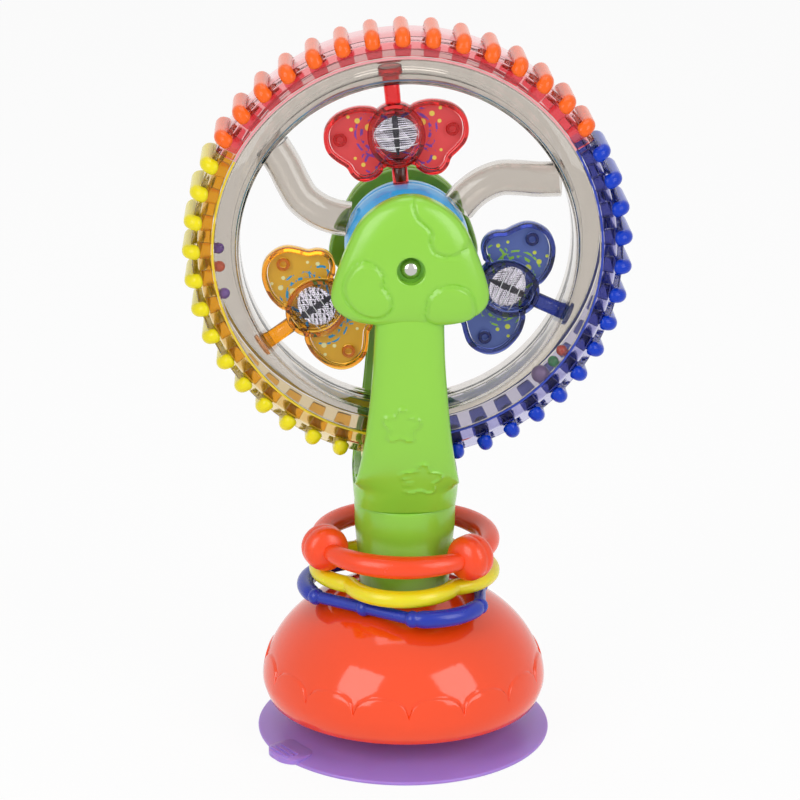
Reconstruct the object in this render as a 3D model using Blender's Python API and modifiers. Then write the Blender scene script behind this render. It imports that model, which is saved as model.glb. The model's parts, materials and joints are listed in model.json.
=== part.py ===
"""Suction-cup spinning wheel toy: a suction base, a fork, a wheel, three spinners and three loose rings."""
import bpy
import bmesh
import math
from mathutils import Matrix, Vector

mm = 0.001

# Gaps between neighbours
joint_gap = 0.3 * mm
face_step = 0.1 * mm
cut_overrun = 2 * mm

# Wheel
wheel_axis_height = 186.3 * mm
wheel_outer_radius = 79.6 * mm
wheel_rest_turn = math.radians(5.8)
wheel_sector = math.radians(120)
rim_inner_radius = 59.5 * mm
rim_half_width = 14.0 * mm
rim_wall = 1.4 * mm
rim_edge_round = 2.5 * mm
rim_lip_radius = 68.4 * mm
rim_lip_half_width = 12.4 * mm
section_wall = 2.4 * mm
section_edge_round = 1.6 * mm
bump_radius = 2.7 * mm
bump_rise = 0.5 * mm
bumps_per_section = 15

# Hub and axle
hub_radius = 22.3 * mm
hub_half_width = 15.5 * mm
hub_end_radius = 17.0 * mm
hub_wall = 1.8 * mm
bush_radius = 4.2 * mm
bearing_wall = 1.8 * mm
axle_radius = 2.5 * mm
axle_head_radius = 3.5 * mm
axle_head_reach = 37.6 * mm
axle_head_height = 2.4 * mm
washer_radius = 5.6 * mm
washer_thickness = 1.0 * mm

# Spokes
spoke_radius = 6.3 * mm
spoke_wall = 1.3 * mm
spoke_mid_radius = 34.0 * mm
spoke_far_radius = 46.0 * mm
spoke_hub_angle = math.radians(31.0)
spoke_mid_angle = math.radians(33.0)
spoke_far_angle = math.radians(25.5)
spoke_rim_angle = math.radians(17.5)

# Spinners
spinner_centre_radius = 39.7 * mm
spinner_half_span = 25.5 * mm
spinner_half_height = 13.3 * mm
wing_thickness = 2.2 * mm
wing_edge_round = 0.7 * mm
card_thickness = 0.5 * mm
card_margin = 1.4 * mm
body_half_width = 8.2 * mm
body_half_height = 9.6 * mm
body_dome_height = 6.4 * mm
body_wall = 1.2 * mm
body_frame_width = 1.7 * mm
body_frame_height = 3.6 * mm
post_radius = 2.8 * mm
post_knob_radius = 4.2 * mm
post_knob_length = 2.4 * mm
post_hub_depth = 1.6 * mm

# Fork
arm_foot_height = 91.0 * mm
arm_half_width = 19.3 * mm
arm_part_depth = 29.3 * mm
arm_outer_depth = 38.0 * mm
arm_wall = 2.0 * mm
liner_thickness = 2.2 * mm
liner_foot_lift = 1.0 * mm
cap_half_width = 27.5 * mm
front_cap_top = 25.2 * mm
rear_cap_top = 21.6 * mm
cap_bottom = 20.6 * mm
cap_outer_depth = 39.6 * mm
axle_recess_radius = 4.9 * mm
patch_height = 0.7 * mm

# Neck
neck_bottom_radius = 16.6 * mm
neck_top_radius = 18.6 * mm
neck_wall = 2.0 * mm
neck_flange_radius = 20.5 * mm
neck_flange_thickness = 2.4 * mm
spigot_radius = 12.0 * mm
spigot_height = 7.0 * mm

# Base dome
dome_radius = 52.1 * mm
dome_waist_height = 20.0 * mm
dome_rise = 38.5 * mm
dome_edge_height = 14.2 * mm
dome_edge_radius = 50.8 * mm
dome_wall = 2.0 * mm
scallop_count = 16
scallop_cusp_height = 24.5 * mm
scallop_top_height = 31.0 * mm
scallop_relief = 0.6 * mm
boss_radius = 3.6 * mm
boss_circle_radius = 38.0 * mm
screw_radius = 1.3 * mm
screw_head_radius = 2.8 * mm
screw_head_height = 1.4 * mm
screw_reach = 12.0 * mm
screw_count = 3
plate_thickness = 2.0 * mm

# Suction cup
cup_radius = 54.5 * mm
cup_edge_thickness = 1.4 * mm
cup_seat_width = 6.0 * mm
cup_hollow_height = 8.0 * mm
cup_shoulder_radius = 14.0 * mm
cup_wall = 4.6 * mm
stud_radius = 6.0 * mm
stud_head_radius = 7.8 * mm
stud_head_height = 3.0 * mm
tab_angle = math.radians(-146)
tab_half_width = 8.0 * mm
tab_reach = 3.6 * mm
tab_thickness = 2.6 * mm

# Rings
orange_ring_radius = 31.0 * mm
orange_tube_radius = 4.0 * mm
orange_tube_end_share = 0.72
collar_radius = 8.4 * mm
collar_half_length = 5.6 * mm
orange_rest_turn = math.radians(-42)
yellow_ring_radius = 29.2 * mm
yellow_wave = 3.0 * mm
yellow_tube_radius = 3.1 * mm
yellow_rest_turn = math.radians(-95)
yellow_lobes = 4
blue_ring_radius = 34.8 * mm
blue_bulge_radius = 36.6 * mm
blue_tube_radius = 2.9 * mm
blue_rod_radius = 2.2 * mm
blue_ball_radius = 3.1 * mm
blue_side_half_angle = math.radians(36.5)
blue_rest_turn = math.radians(-123.6)
blue_sides = 3

# Beads
bead_track_radius = 66.5 * mm
bead_large_radius = 3.4 * mm
bead_small_radius = 2.1 * mm

# Derived places
rim_section_radius = wheel_outer_radius - bump_rise - bump_radius
section_inner_radius = rim_section_radius - section_wall
post_inner_radius = hub_radius - hub_wall - post_hub_depth
post_outer_radius = rim_inner_radius + rim_wall + joint_gap
bearing_outer_radius = bush_radius + joint_gap + bearing_wall
washer_depth = hub_half_width + joint_gap
liner_boss_depth = washer_depth + washer_thickness + joint_gap


def srgb(code):
    """Turns a hex colour into linear red, green, blue and one for alpha."""
    values = [int(code[i:i + 2], 16) / 255 for i in (0, 2, 4)]
    return [v / 12.92 if v <= 0.04045 else ((v + 0.055) / 1.055) ** 2.4 for v in values] + [1.0]


def clear_scene():
    for old in list(bpy.data.objects):
        bpy.data.objects.remove(old, do_unlink=True)


def new_collection(name):
    group = bpy.data.collections.new(name)
    bpy.context.scene.collection.children.link(group)
    return group


clear_scene()
PARTS = new_collection("Spinning wheel toy")
CUTTERS = new_collection("Cutters")


def plastic(name, code, roughness=0.3, metallic=0.0, see_through=0.0):
    """One Principled material for one part."""
    material = bpy.data.materials.new(name)
    material.use_nodes = True
    shader = material.node_tree.nodes["Principled BSDF"]
    shader.inputs["Base Color"].default_value = srgb(code)
    shader.inputs["Roughness"].default_value = roughness
    shader.inputs["Metallic"].default_value = metallic
    shader.inputs["Transmission Weight"].default_value = see_through
    return material


def place(thing, material=None, parent=None, guide=False):
    """Links an object as a part, or as a guide that only shapes a part."""
    (CUTTERS if guide else PARTS).objects.link(thing)
    if parent is not None:
        thing.parent = parent
    if material is not None:
        thing.data.materials.append(material)
    if guide:
        thing.hide_render = True
        thing.display_type = "WIRE"
    return thing


def new_axis(name, location, rotation=(0, 0, 0), parent=None):
    axis = bpy.data.objects.new(name, None)
    axis.empty_display_size = bush_radius
    axis.location = location
    axis.rotation_euler = rotation
    axis.parent = parent
    PARTS.objects.link(axis)
    return axis


def from_bmesh(name, shape):
    bmesh.ops.recalc_face_normals(shape, faces=shape.faces)
    mesh = bpy.data.meshes.new(name)
    shape.to_mesh(mesh)
    shape.free()
    mesh.shade_smooth()
    mesh.set_sharp_from_angle(angle=math.radians(40))
    return bpy.data.objects.new(name, mesh)


def clockwise(profile):
    """Profile points in the order that a Screw modifier needs at +X."""
    area = 0
    for (r0, z0), (r1, z1) in zip(profile, profile[1:] + profile[:1]):
        area += r0 * z1 - r1 * z0
    return profile if area < 0 else profile[::-1]


def turned(name, profile, steps):
    """A closed profile of (radius, height) points turned round Z."""
    mesh = bpy.data.meshes.new(name)
    points = clockwise(profile)
    closed = min(r for r, z in points) > 0
    if not closed:
        start = [i for i, p in enumerate(points) if p[0] == 0 and points[i - 1][0] == 0][0]
        points = points[start:] + points[:start]
    edges = [(i, i + 1) for i in range(len(points) - 1)]
    if closed:
        edges.append((len(points) - 1, 0))
    mesh.from_pydata([(r, 0, z) for r, z in points], edges, [])
    thing = bpy.data.objects.new(name, mesh)
    screw = thing.modifiers.new("Turn", "SCREW")
    screw.axis = "Z"
    screw.angle = math.tau
    screw.steps = steps
    screw.render_steps = steps
    screw.use_merge_vertices = True
    screw.merge_threshold = 0.00001
    screw.use_smooth_shade = True
    return thing


def loft(name, sections, around=False):
    """Skins rings of points; the ends are capped unless the last ring meets the first."""
    shape = bmesh.new()
    rings = [[shape.verts.new(p) for p in section] for section in sections]
    count = len(rings[0])
    pairs = list(zip(rings, rings[1:]))
    if around:
        pairs.append((rings[-1], rings[0]))
    for low, high in pairs:
        for i in range(count):
            j = (i + 1) % count
            shape.faces.new((low[i], low[j], high[j], high[i]))
    if not around:
        shape.faces.new(rings[0][::-1])
        shape.faces.new(rings[-1])
    return from_bmesh(name, shape)


def tube_mesh(name, points, radius, closed=False, shares=None, resolution=1):
    """A round tube along points, made as a bevelled curve and turned into a mesh."""
    data = bpy.data.curves.new(name, "CURVE")
    data.dimensions = "3D"
    data.bevel_depth = radius
    data.bevel_resolution = resolution
    data.use_fill_caps = not closed
    spline = data.splines.new("POLY")
    spline.points.add(len(points) - 1)
    for i, p in enumerate(points):
        spline.points[i].co = (*p, 1)
        spline.points[i].radius = shares[i] if shares else 1.0
    spline.use_cyclic_u = closed
    curve = bpy.data.objects.new(name + "_curve", data)
    CUTTERS.objects.link(curve)
    bpy.context.view_layer.update()
    seen = curve.evaluated_get(bpy.context.evaluated_depsgraph_get())
    mesh = bpy.data.meshes.new_from_object(seen)
    bpy.data.objects.remove(curve, do_unlink=True)
    shape = bmesh.new()
    shape.from_mesh(mesh)
    bmesh.ops.remove_doubles(shape, verts=shape.verts, dist=0.000005)
    return from_bmesh(name, shape)


def smooth_loop(points, parts):
    """Adds points between the given ones along a smooth closed curve."""
    out = []
    count = len(points)
    for i in range(count):
        a, b, c, d = (Vector(points[(i + k) % count]) for k in (-1, 0, 1, 2))
        for step in range(parts):
            t = step / parts
            bend = 2 * b + (c - a) * t + (2 * a - 5 * b + 4 * c - d) * t ** 2
            out.append((bend + (3 * b - 3 * c + d - a) * t ** 3) / 2)
    return out


def slab(name, outline, levels):
    """Stacks one outline at (height, size share) levels along Z."""
    return loft(name, [[(p[0] * share, p[1] * share, height) for p in outline] for height, share in levels])


def ball(name, radius, segments=10, rings=6):
    shape = bmesh.new()
    bmesh.ops.create_uvsphere(shape, u_segments=segments, v_segments=rings, radius=radius)
    return from_bmesh(name, shape)


def pillar(name, radius, length, segments=16):
    """A cylinder centred on the origin along Z."""
    shape = bmesh.new()
    bmesh.ops.create_cone(shape, cap_ends=True, segments=segments, radius1=radius, radius2=radius, depth=length)
    return from_bmesh(name, shape)


def combine(target, other, operation):
    step = target.modifiers.new(operation.title() + " " + other.name, "BOOLEAN")
    step.operation = operation
    step.solver = "EXACT"
    step.object = other


def joined(name, things):
    """Puts separate guide shapes into one guide mesh."""
    shape = bmesh.new()
    for thing in things:
        start = len(shape.verts)
        shape.from_mesh(thing.data)
        shape.verts.ensure_lookup_table()
        bmesh.ops.transform(shape, matrix=thing.matrix_basis, verts=shape.verts[start:])
        bpy.data.objects.remove(thing, do_unlink=True)
    return from_bmesh(name, shape)


def polar(radius, angle, height=0.0):
    return Vector((radius * math.cos(angle), radius * math.sin(angle), height))


# Suction cup
def build_suction_cup():
    seat_inner = cup_radius - cup_seat_width
    plate_low = dome_edge_height - joint_gap
    plate_top = dome_edge_height + plate_thickness + joint_gap
    profile = [
        (0, plate_top + stud_head_height),
        (stud_head_radius * 0.7, plate_top + stud_head_height),
        (stud_head_radius, plate_top),
        (stud_radius, plate_top),
        (stud_radius, plate_low),
        (cup_shoulder_radius, plate_low),
        (cup_shoulder_radius, cup_hollow_height + cup_wall),
        (cup_radius * 0.55, cup_hollow_height * 0.62 + cup_edge_thickness),
        (cup_radius * 0.82, cup_hollow_height * 0.22 + cup_edge_thickness),
        (cup_radius, cup_edge_thickness),
        (cup_radius, 0),
        (seat_inner, 0),
        (cup_radius * 0.62, cup_hollow_height * 0.42),
        (cup_radius * 0.3, cup_hollow_height * 0.86),
        (0, cup_hollow_height),
    ]
    cup = place(turned("suction_cup", profile, 28), plastic("suction cup PVC", "A57DD2", 0.45))
    tab_share = [(0, -1), (0.55, -1), (0.9, -0.75), (1, -0.3), (1, 0.3), (0.9, 0.75), (0.55, 1), (0, 1)]
    length = cup_seat_width + tab_reach
    outline = [(seat_inner + length * x, tab_half_width * y) for x, y in tab_share]
    levels = [(cup_edge_thickness * 0.3, 1), (tab_thickness, 1)]
    tab = place(slab("cup_tab_shape", outline, levels), guide=True)
    tab.rotation_euler = (0, 0, tab_angle)
    combine(cup, tab, "UNION")


# Base
def dome_height_at(radius):
    return dome_waist_height + dome_rise * math.sqrt(1 - (radius / dome_radius) ** 2)


def dome_radius_at(height):
    return dome_radius * math.sqrt(1 - ((height - dome_waist_height) / dome_rise) ** 2)


def build_base_dome():
    stations = scallop_count * 3
    hole = neck_bottom_radius + joint_gap
    arc_shares = [0.0, 0.89, 0.89]
    upper_shares = [0.5, 0.85]
    inner_bend_share = 0.72
    sections = []
    for k in range(stations):
        angle = math.tau * k / stations
        edge = scallop_cusp_height + (scallop_top_height - scallop_cusp_height) * arc_shares[k % 3]
        rows = [(dome_edge_radius, dome_edge_height), (dome_radius + scallop_relief, dome_waist_height)]
        rows.append((dome_radius_at(edge) + scallop_relief, edge))
        rows.append((dome_radius_at(edge + scallop_relief), edge + scallop_relief))
        top = dome_height_at(hole)
        for share in upper_shares:
            height = edge + (top - edge) * share
            rows.append((dome_radius_at(height), height))
        rows.append((hole, top))
        rows.append((hole, top - dome_wall))
        radius = hole + (dome_radius - hole) * inner_bend_share
        rows.append((radius - dome_wall, dome_height_at(radius) - dome_wall))
        rows.append((dome_radius - dome_wall, dome_waist_height))
        rows.append((dome_edge_radius - dome_wall * 0.6, dome_edge_height))
        sections.append([polar(radius, angle, height) for radius, height in rows])
    dome = place(loft("base_dome", sections, around=True), plastic("dome ABS", "FF5519", 0.22))
    low = dome_edge_height + plate_thickness + joint_gap
    high = dome_height_at(boss_circle_radius) - dome_wall / 2
    bosses = []
    bores = []
    for k in range(screw_count):
        angle = math.tau * (k + 0.25) / screw_count
        boss = pillar("boss", boss_radius, high - low, 10)
        boss.matrix_basis = Matrix.Translation(polar(boss_circle_radius, angle, (low + high) / 2))
        bosses.append(boss)
        depth = screw_reach + cut_overrun
        bore = pillar("bore", screw_radius + joint_gap, depth, 8)
        bore.matrix_basis = Matrix.Translation(polar(boss_circle_radius, angle, low + depth / 2 - joint_gap))
        bores.append(bore)
    combine(dome, place(joined("dome_boss_shape", bosses), guide=True), "UNION")
    combine(dome, place(joined("dome_bore_shape", bores), guide=True), "DIFFERENCE")


def build_base_plate():
    low = dome_edge_height
    high = dome_edge_height + plate_thickness
    outer = dome_edge_radius - dome_wall * 0.6 - joint_gap
    inner = stud_radius + joint_gap
    profile = [(inner, high), (outer, high), (outer - joint_gap, low), (inner, low)]
    plate = place(turned("base_plate", profile, 32), plastic("plate ABS", "E84A12", 0.4))
    holes = []
    for k in range(screw_count):
        angle = math.tau * (k + 0.25) / screw_count
        hole = pillar("hole", screw_radius + joint_gap, plate_thickness + 2 * cut_overrun, 8)
        hole.matrix_basis = Matrix.Translation(polar(boss_circle_radius, angle, (low + high) / 2))
        holes.append(hole)
        shank_top = high + screw_reach
        head_top = low - joint_gap
        screw_profile = [
            (0, shank_top),
            (screw_radius, shank_top),
            (screw_radius, head_top),
            (screw_head_radius, head_top),
            (screw_head_radius * 0.8, head_top - screw_head_height),
            (0, head_top - screw_head_height),
        ]
        name = "base_screw_%d" % (k + 1)
        screw = place(turned(name, screw_profile, 8), plastic(name + " steel", "B8B8B8", 0.3, 1.0))
        screw.location = polar(boss_circle_radius, angle)
    combine(plate, place(joined("plate_hole_shape", holes), guide=True), "DIFFERENCE")


# Neck
def build_neck():
    top = arm_foot_height - joint_gap
    dome_top = dome_height_at(neck_bottom_radius + joint_gap)
    flange_top = dome_height_at(neck_flange_radius) - 2 * dome_wall
    flange_low = flange_top - neck_flange_thickness
    profile = [
        (0, top + spigot_height),
        (spigot_radius - neck_wall / 2, top + spigot_height),
        (spigot_radius, top + spigot_height - neck_wall / 2),
        (spigot_radius, top),
        (neck_top_radius, top),
        (neck_top_radius - neck_wall * 0.1, top - neck_wall * 5),
        (neck_bottom_radius, dome_top + neck_wall * 2),
        (neck_bottom_radius, flange_top),
        (neck_flange_radius, flange_top),
        (neck_flange_radius, flange_low),
        (neck_bottom_radius - neck_wall, flange_low),
        (neck_bottom_radius - neck_wall, dome_top + neck_wall * 2),
        (neck_top_radius - neck_wall * 1.5, top - neck_wall),
        (0, top - neck_wall),
    ]
    place(turned("neck", profile, 24), plastic("neck ABS", "8CC832", 0.25))


# Fork arms, each as height, height, depth, depth and width shares of its stations
ARM_STATION_SHARES = [
    (0.000, 0.000, 0.000, 0.492, 0.965),
    (0.040, 0.038, 0.000, 0.545, 0.985),
    (0.084, 0.084, 0.000, 0.645, 1.000),
    (0.090, 0.136, 0.358, 0.753, 0.990),
    (0.121, 0.173, 0.597, 0.803, 0.965),
    (0.173, 0.220, 0.700, 0.868, 0.915),
    (0.252, 0.294, 0.805, 0.934, 0.845),
    (0.346, 0.383, 0.915, 0.974, 0.780),
    (0.451, 0.472, 0.986, 0.995, 0.725),
    (0.588, 0.588, 1.000, 1.000, 0.668),
    (0.724, 0.724, 1.000, 1.000, 0.632),
    (0.880, 0.880, 1.000, 1.000, 0.617),
]
CAP_OUTLINE_SHARES = [
    (0.00, 1.000), (0.20, 0.960), (0.41, 0.830), (0.58, 0.600), (0.74, 0.280),
    (0.89, -0.110), (1.00, -0.470), (0.96, -0.700), (0.81, -0.880), (0.58, -0.970),
    (0.30, -1.000), (0.00, -1.000),
]


def arm_rows(wall):
    """Foot-to-cap stations as inner point, outer point and half width, drawn in by a wall."""
    rows = []
    span = wheel_axis_height - arm_foot_height
    for low, high, inner, outer, width in ARM_STATION_SHARES:
        near = Vector((max(joint_gap / 2, arm_part_depth * inner), arm_foot_height + span * low))
        far = Vector((arm_outer_depth * outer, arm_foot_height + span * high))
        reach = far - near
        rows.append((near, near + reach * (1 - wall / reach.length), arm_half_width * width - wall))
    return rows


def arm_section(near, far, half_width, parts=6):
    """A rounded half section from the parting face out to the front."""
    points = []
    for i in range(parts + 1):
        angle = math.pi * i / parts
        across = math.copysign(abs(math.cos(angle)) ** 0.8, math.cos(angle))
        out = near + (far - near) * math.sin(angle) ** 0.62
        points.append(Vector((half_width * across, -out.x, out.y)))
    return points


def cap_outline(top, margin=0.0):
    half = []
    for x, z in CAP_OUTLINE_SHARES:
        height = (top - margin) if z > 0 else (cap_bottom - margin)
        half.append(((cap_half_width - margin) * x, height * z))
    return smooth_loop(half + [(-x, z) for x, z in half[-2:0:-1]], 1)


def upright(thing):
    """Turns a shape drawn in X and Y to stand at the wheel axis and face the front."""
    thing.matrix_basis = Matrix.Translation((0, 0, wheel_axis_height)) @ Matrix.Rotation(math.pi / 2, 4, "X")
    return thing


PATCH_SHARES = {
    "left": [
        (-0.56, 0.11), (-0.38, 0.00), (-0.35, -0.23), (-0.26, -0.46), (-0.36, -0.74),
        (-0.58, -0.78), (-0.78, -0.52), (-0.81, -0.20), (-0.70, 0.05),
    ],
    "upper": [
        (0.05, 0.90), (0.10, 0.72), (0.26, 0.57), (0.27, 0.36), (0.37, 0.24),
        (0.58, 0.22), (0.72, 0.36), (0.66, 0.52), (0.50, 0.74), (0.30, 0.88),
    ],
    "right": [
        (0.22, -0.84), (0.20, -0.60), (0.30, -0.36), (0.52, -0.28), (0.72, -0.38),
        (0.78, -0.60), (0.70, -0.84), (0.48, -0.90),
    ],
}


def build_arm(side, top):
    """One outer arm shell with its cap; the rear one is the front one turned half a turn."""
    turn = 0 if side == "front" else math.pi
    shell = loft(side + "_arm", [arm_section(*row) for row in arm_rows(0)])
    place(shell, plastic(side + " arm ABS", "9BD657", 0.22))
    shell.rotation_euler = (0, 0, turn)
    depth = cap_outer_depth
    part = arm_part_depth
    levels = [(part + face_step, 0.985), (part + (depth - part) * 0.4, 1.0), (part + (depth - part) * 0.7, 0.955)]
    levels += [(depth - face_step, 0.82)]
    levels += [(depth, 0.70)]
    cap = place(slab(side + "_cap_shape", cap_outline(top), levels), guide=True)
    upright(cap)
    cap.matrix_basis = Matrix.Rotation(turn, 4, "Z") @ cap.matrix_basis
    combine(shell, cap, "UNION")
    hollow_levels = [(part - cut_overrun, 1.0), (part + (depth - part) * 0.55, 0.97)]
    hollow_levels.append((depth - arm_wall, 0.74))
    hollow = place(slab(side + "_cap_hollow", cap_outline(top, arm_wall), hollow_levels), guide=True)
    upright(hollow)
    hollow.matrix_basis = Matrix.Rotation(turn, 4, "Z") @ hollow.matrix_basis
    rows = arm_rows(arm_wall)
    rows[0] = (rows[0][0], rows[0][1] + Vector((0, arm_wall)), rows[0][2])
    rows[0][0].y += arm_wall
    for near, far, width in rows:
        near.x -= cut_overrun if near.x < joint_gap else 0
        near -= (far - near).normalized() * cut_overrun
        near.y += face_step
        far.y += face_step
    inside = place(loft(side + "_arm_hollow", [arm_section(*row) for row in rows]), guide=True)
    inside.rotation_euler = (0, 0, turn)
    combine(inside, hollow, "UNION")
    combine(shell, inside, "DIFFERENCE")
    socket = place(pillar(side + "_spigot_socket", spigot_radius + joint_gap, 4 * arm_wall, 24), guide=True)
    socket.location = (0, 0, arm_foot_height)
    combine(shell, socket, "DIFFERENCE")
    socket_depth = axle_head_reach - axle_head_height - joint_gap
    seat = pillar(side + "_axle_seat", axle_recess_radius + arm_wall, depth - part - arm_wall, 12)
    upright(place(seat, guide=True))
    seat.matrix_basis = Matrix.Rotation(turn, 4, "Z") @ seat.matrix_basis @ Matrix.Translation((0, 0, (depth + part) / 2))
    combine(shell, seat, "UNION")
    recess = pillar(side + "_axle_recess", axle_recess_radius, depth - socket_depth + cut_overrun, 12)
    upright(place(recess, guide=True))
    middle = (depth + socket_depth + cut_overrun) / 2
    recess.matrix_basis = Matrix.Rotation(turn, 4, "Z") @ recess.matrix_basis @ Matrix.Translation((0, 0, middle))
    combine(shell, recess, "DIFFERENCE")
    bore = pillar(side + "_axle_bore", axle_radius + joint_gap, 2 * depth, 8)
    upright(place(bore, guide=True))
    combine(shell, bore, "DIFFERENCE")
    if side == "front":
        add_arm_relief(shell)


def add_arm_relief(shell):
    """Raised patches on the cap and two flowers down the arm."""
    depth = cap_outer_depth
    for name, shares in PATCH_SHARES.items():
        outline = smooth_loop([(cap_half_width * x, front_cap_top * z) for x, z in shares], 1)
        centre = sum((Vector(p) for p in outline), Vector((0, 0))) / len(outline)
        local = [Vector(p) - centre for p in outline]
        low = depth - arm_wall * 1.4
        levels = [(low, 1.0), (depth - patch_height * 0.6, 0.98), (depth + patch_height, 0.82)]
        patch = place(slab("patch_" + name, local, levels), guide=True)
        upright(patch)
        patch.matrix_basis = patch.matrix_basis @ Matrix.Translation((centre.x, centre.y, 0))
        lean = Matrix.Rotation(math.radians(9), 4, Vector((-centre.y, centre.x, 0)))
        pivot = Matrix.Translation((0, 0, depth))
        patch.matrix_basis = patch.matrix_basis @ pivot @ lean @ pivot.inverted()
        combine(shell, patch, "UNION")


def build_liner(side, top):
    """The inner half of an arm, with the boss that the axle runs through."""
    turn = 0 if side == "front" else math.pi
    rows = arm_rows(0)[2:]
    sections = []
    path = [row[0] for row in rows]
    path[0] = Vector((joint_gap / 2, rows[0][0].y))
    for i, (near, far, width) in enumerate(rows):
        ahead = path[min(i + 1, len(path) - 1)] - path[max(i - 1, 0)]
        normal = Vector((-ahead.y, ahead.x)).normalized()
        gap = joint_gap + (liner_foot_lift if i < 2 else 0)
        low = path[i] + normal * gap
        high = path[i] + normal * (gap + liner_thickness)
        for point in (low, high):
            point.x = max(point.x, joint_gap / 2)
        half = width * 0.97
        sections.append([(half, -low.x, low.y), (half, -high.x, high.y), (-half, -high.x, high.y), (-half, -low.x, low.y)])
    liner = place(loft(side + "_liner", sections), plastic(side + " liner ABS", "7DB82C", 0.3))
    liner.rotation_euler = (0, 0, turn)
    outer = arm_part_depth - joint_gap
    disc = place(slab(side + "_liner_disc", cap_outline(top), [(outer - face_step, 0.98), (outer - liner_thickness - face_step, 0.94)]), guide=True)
    upright(disc)
    disc.matrix_basis = Matrix.Rotation(turn, 4, "Z") @ disc.matrix_basis
    combine(liner, disc, "UNION")
    length = outer - liner_boss_depth
    boss = place(pillar(side + "_liner_boss", axle_radius + joint_gap + bearing_wall * 1.6, length, 12), guide=True)
    upright(boss)
    boss.matrix_basis = Matrix.Rotation(turn, 4, "Z") @ boss.matrix_basis @ Matrix.Translation((0, 0, outer - length / 2))
    combine(liner, boss, "UNION")
    bore = place(pillar(side + "_liner_bore", axle_radius + joint_gap, 2 * arm_outer_depth, 8), guide=True)
    upright(bore)
    combine(liner, bore, "DIFFERENCE")


# Axle
def build_axle():
    shoulder = axle_head_reach - axle_head_height
    half = [
        (0, axle_head_reach),
        (axle_head_radius * 0.5, axle_head_reach - axle_head_height * 0.16),
        (axle_head_radius * 0.87, axle_head_reach - axle_head_height * 0.5),
        (axle_head_radius, shoulder),
        (axle_radius, shoulder),
    ]
    profile = half + [(r, -z) for r, z in half[::-1]]
    upright(place(turned("axle", profile, 12), plastic("axle steel", "C8C8C4", 0.12, 1.0)))
    for side, sign in (("front", 1), ("rear", -1)):
        low = washer_depth * sign
        high = (washer_depth + washer_thickness) * sign
        inner = axle_radius + joint_gap
        ring = [(inner, low), (inner, high), (washer_radius, high), (washer_radius, low)]
        name = side + "_washer"
        upright(place(turned(name, ring, 10), plastic(name + " nylon", "E8E4DA", 0.5)))


# Wheel
wheel_axis = new_axis("wheel_axis", (0, 0, wheel_axis_height), (math.pi / 2, -wheel_rest_turn, 0))
first_post = math.pi / 2


def radial_holes(name, radius, reach, count=3):
    """Cylinders along the spinner posts, as one guide shape."""
    rods = []
    for k in range(count):
        angle = first_post + wheel_sector * k
        rod = pillar("rod", radius, reach, 8)
        rod.matrix_basis = Matrix.Rotation(angle, 4, "Z") @ Matrix.Rotation(math.pi / 2, 4, "Y")
        rod.matrix_basis = Matrix.Translation(polar(reach / 2 + post_inner_radius / 2, angle)) @ rod.matrix_basis
        rods.append(rod)
    return place(joined(name, rods), parent=wheel_axis, guide=True)


def build_hub():
    rows = [(0.0, 0.0), (0.45, 0.2), (0.82, 0.64), (1.0, 1.0)]
    outer = [(hub_radius - (hub_radius - hub_end_radius) * drop, hub_half_width * z) for z, drop in rows]
    for side, sign in (("front", 1), ("rear", -1)):
        profile = [(r, max(z, joint_gap / 2) * sign) for r, z in outer]
        inside = [(r - hub_wall, max(z - hub_wall * (i / 3), joint_gap / 2) * sign) for i, (r, z) in enumerate(outer)]
        profile += [(bush_radius + joint_gap, hub_half_width * sign), (bush_radius + joint_gap, joint_gap / 2 * sign)]
        profile += [(bearing_outer_radius, joint_gap / 2 * sign)]
        profile += [(bearing_outer_radius, (hub_half_width - hub_wall) * sign)] + inside[::-1]
        name = "hub_" + side
        hub = place(turned(name, profile, 24), plastic(name + " ABS", "46B4F0", 0.25), wheel_axis)
        holes = radial_holes(name + "_post_hole", post_radius + joint_gap, hub_radius)
        combine(hub, holes, "DIFFERENCE")
    inner = axle_radius + joint_gap
    tube = [(inner, -hub_half_width), (inner, hub_half_width), (bush_radius, hub_half_width), (bush_radius, -hub_half_width)]
    place(turned("hub_bush", tube, 12), plastic("hub bush nylon", "F0ECE0", 0.5), wheel_axis)


def build_spokes():
    route = [
        polar(hub_radius - 2 * hub_wall, spoke_hub_angle),
        polar(hub_radius + hub_wall, spoke_hub_angle),
        polar((hub_radius + spoke_mid_radius) / 2, (spoke_hub_angle + spoke_mid_angle) / 2 + math.radians(1.5)),
        polar(spoke_mid_radius, spoke_mid_angle),
        polar(spoke_far_radius, spoke_far_angle),
        polar(rim_inner_radius - rim_wall, spoke_rim_angle),
        polar(rim_inner_radius + 2 * rim_wall, spoke_rim_angle - math.radians(3)),
    ]
    for k in range(3):
        turn = Matrix.Rotation(wheel_sector * k, 4, "Z")
        points = [turn @ p for p in route]
        name = "spoke_%d" % (k + 1)
        spoke = place(tube_mesh(name, points, spoke_radius, resolution=2), plastic(name + " clear PS", "D9D3CC", 0.08, 0, 0.9), wheel_axis)
        bore = place(tube_mesh(name + "_bore", points, spoke_radius - spoke_wall, resolution=1), parent=wheel_axis, guide=True)
        inner = hub_radius + joint_gap
        outer = rim_inner_radius - joint_gap
        reach = spoke_radius + cut_overrun
        zone_profile = [(outer, reach), (outer, -reach), (inner, -reach), (inner, reach)]
        zone = place(turned(name + "_zone", zone_profile, 48), parent=wheel_axis, guide=True)
        combine(spoke, zone, "INTERSECT")
        combine(spoke, bore, "DIFFERENCE")


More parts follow.
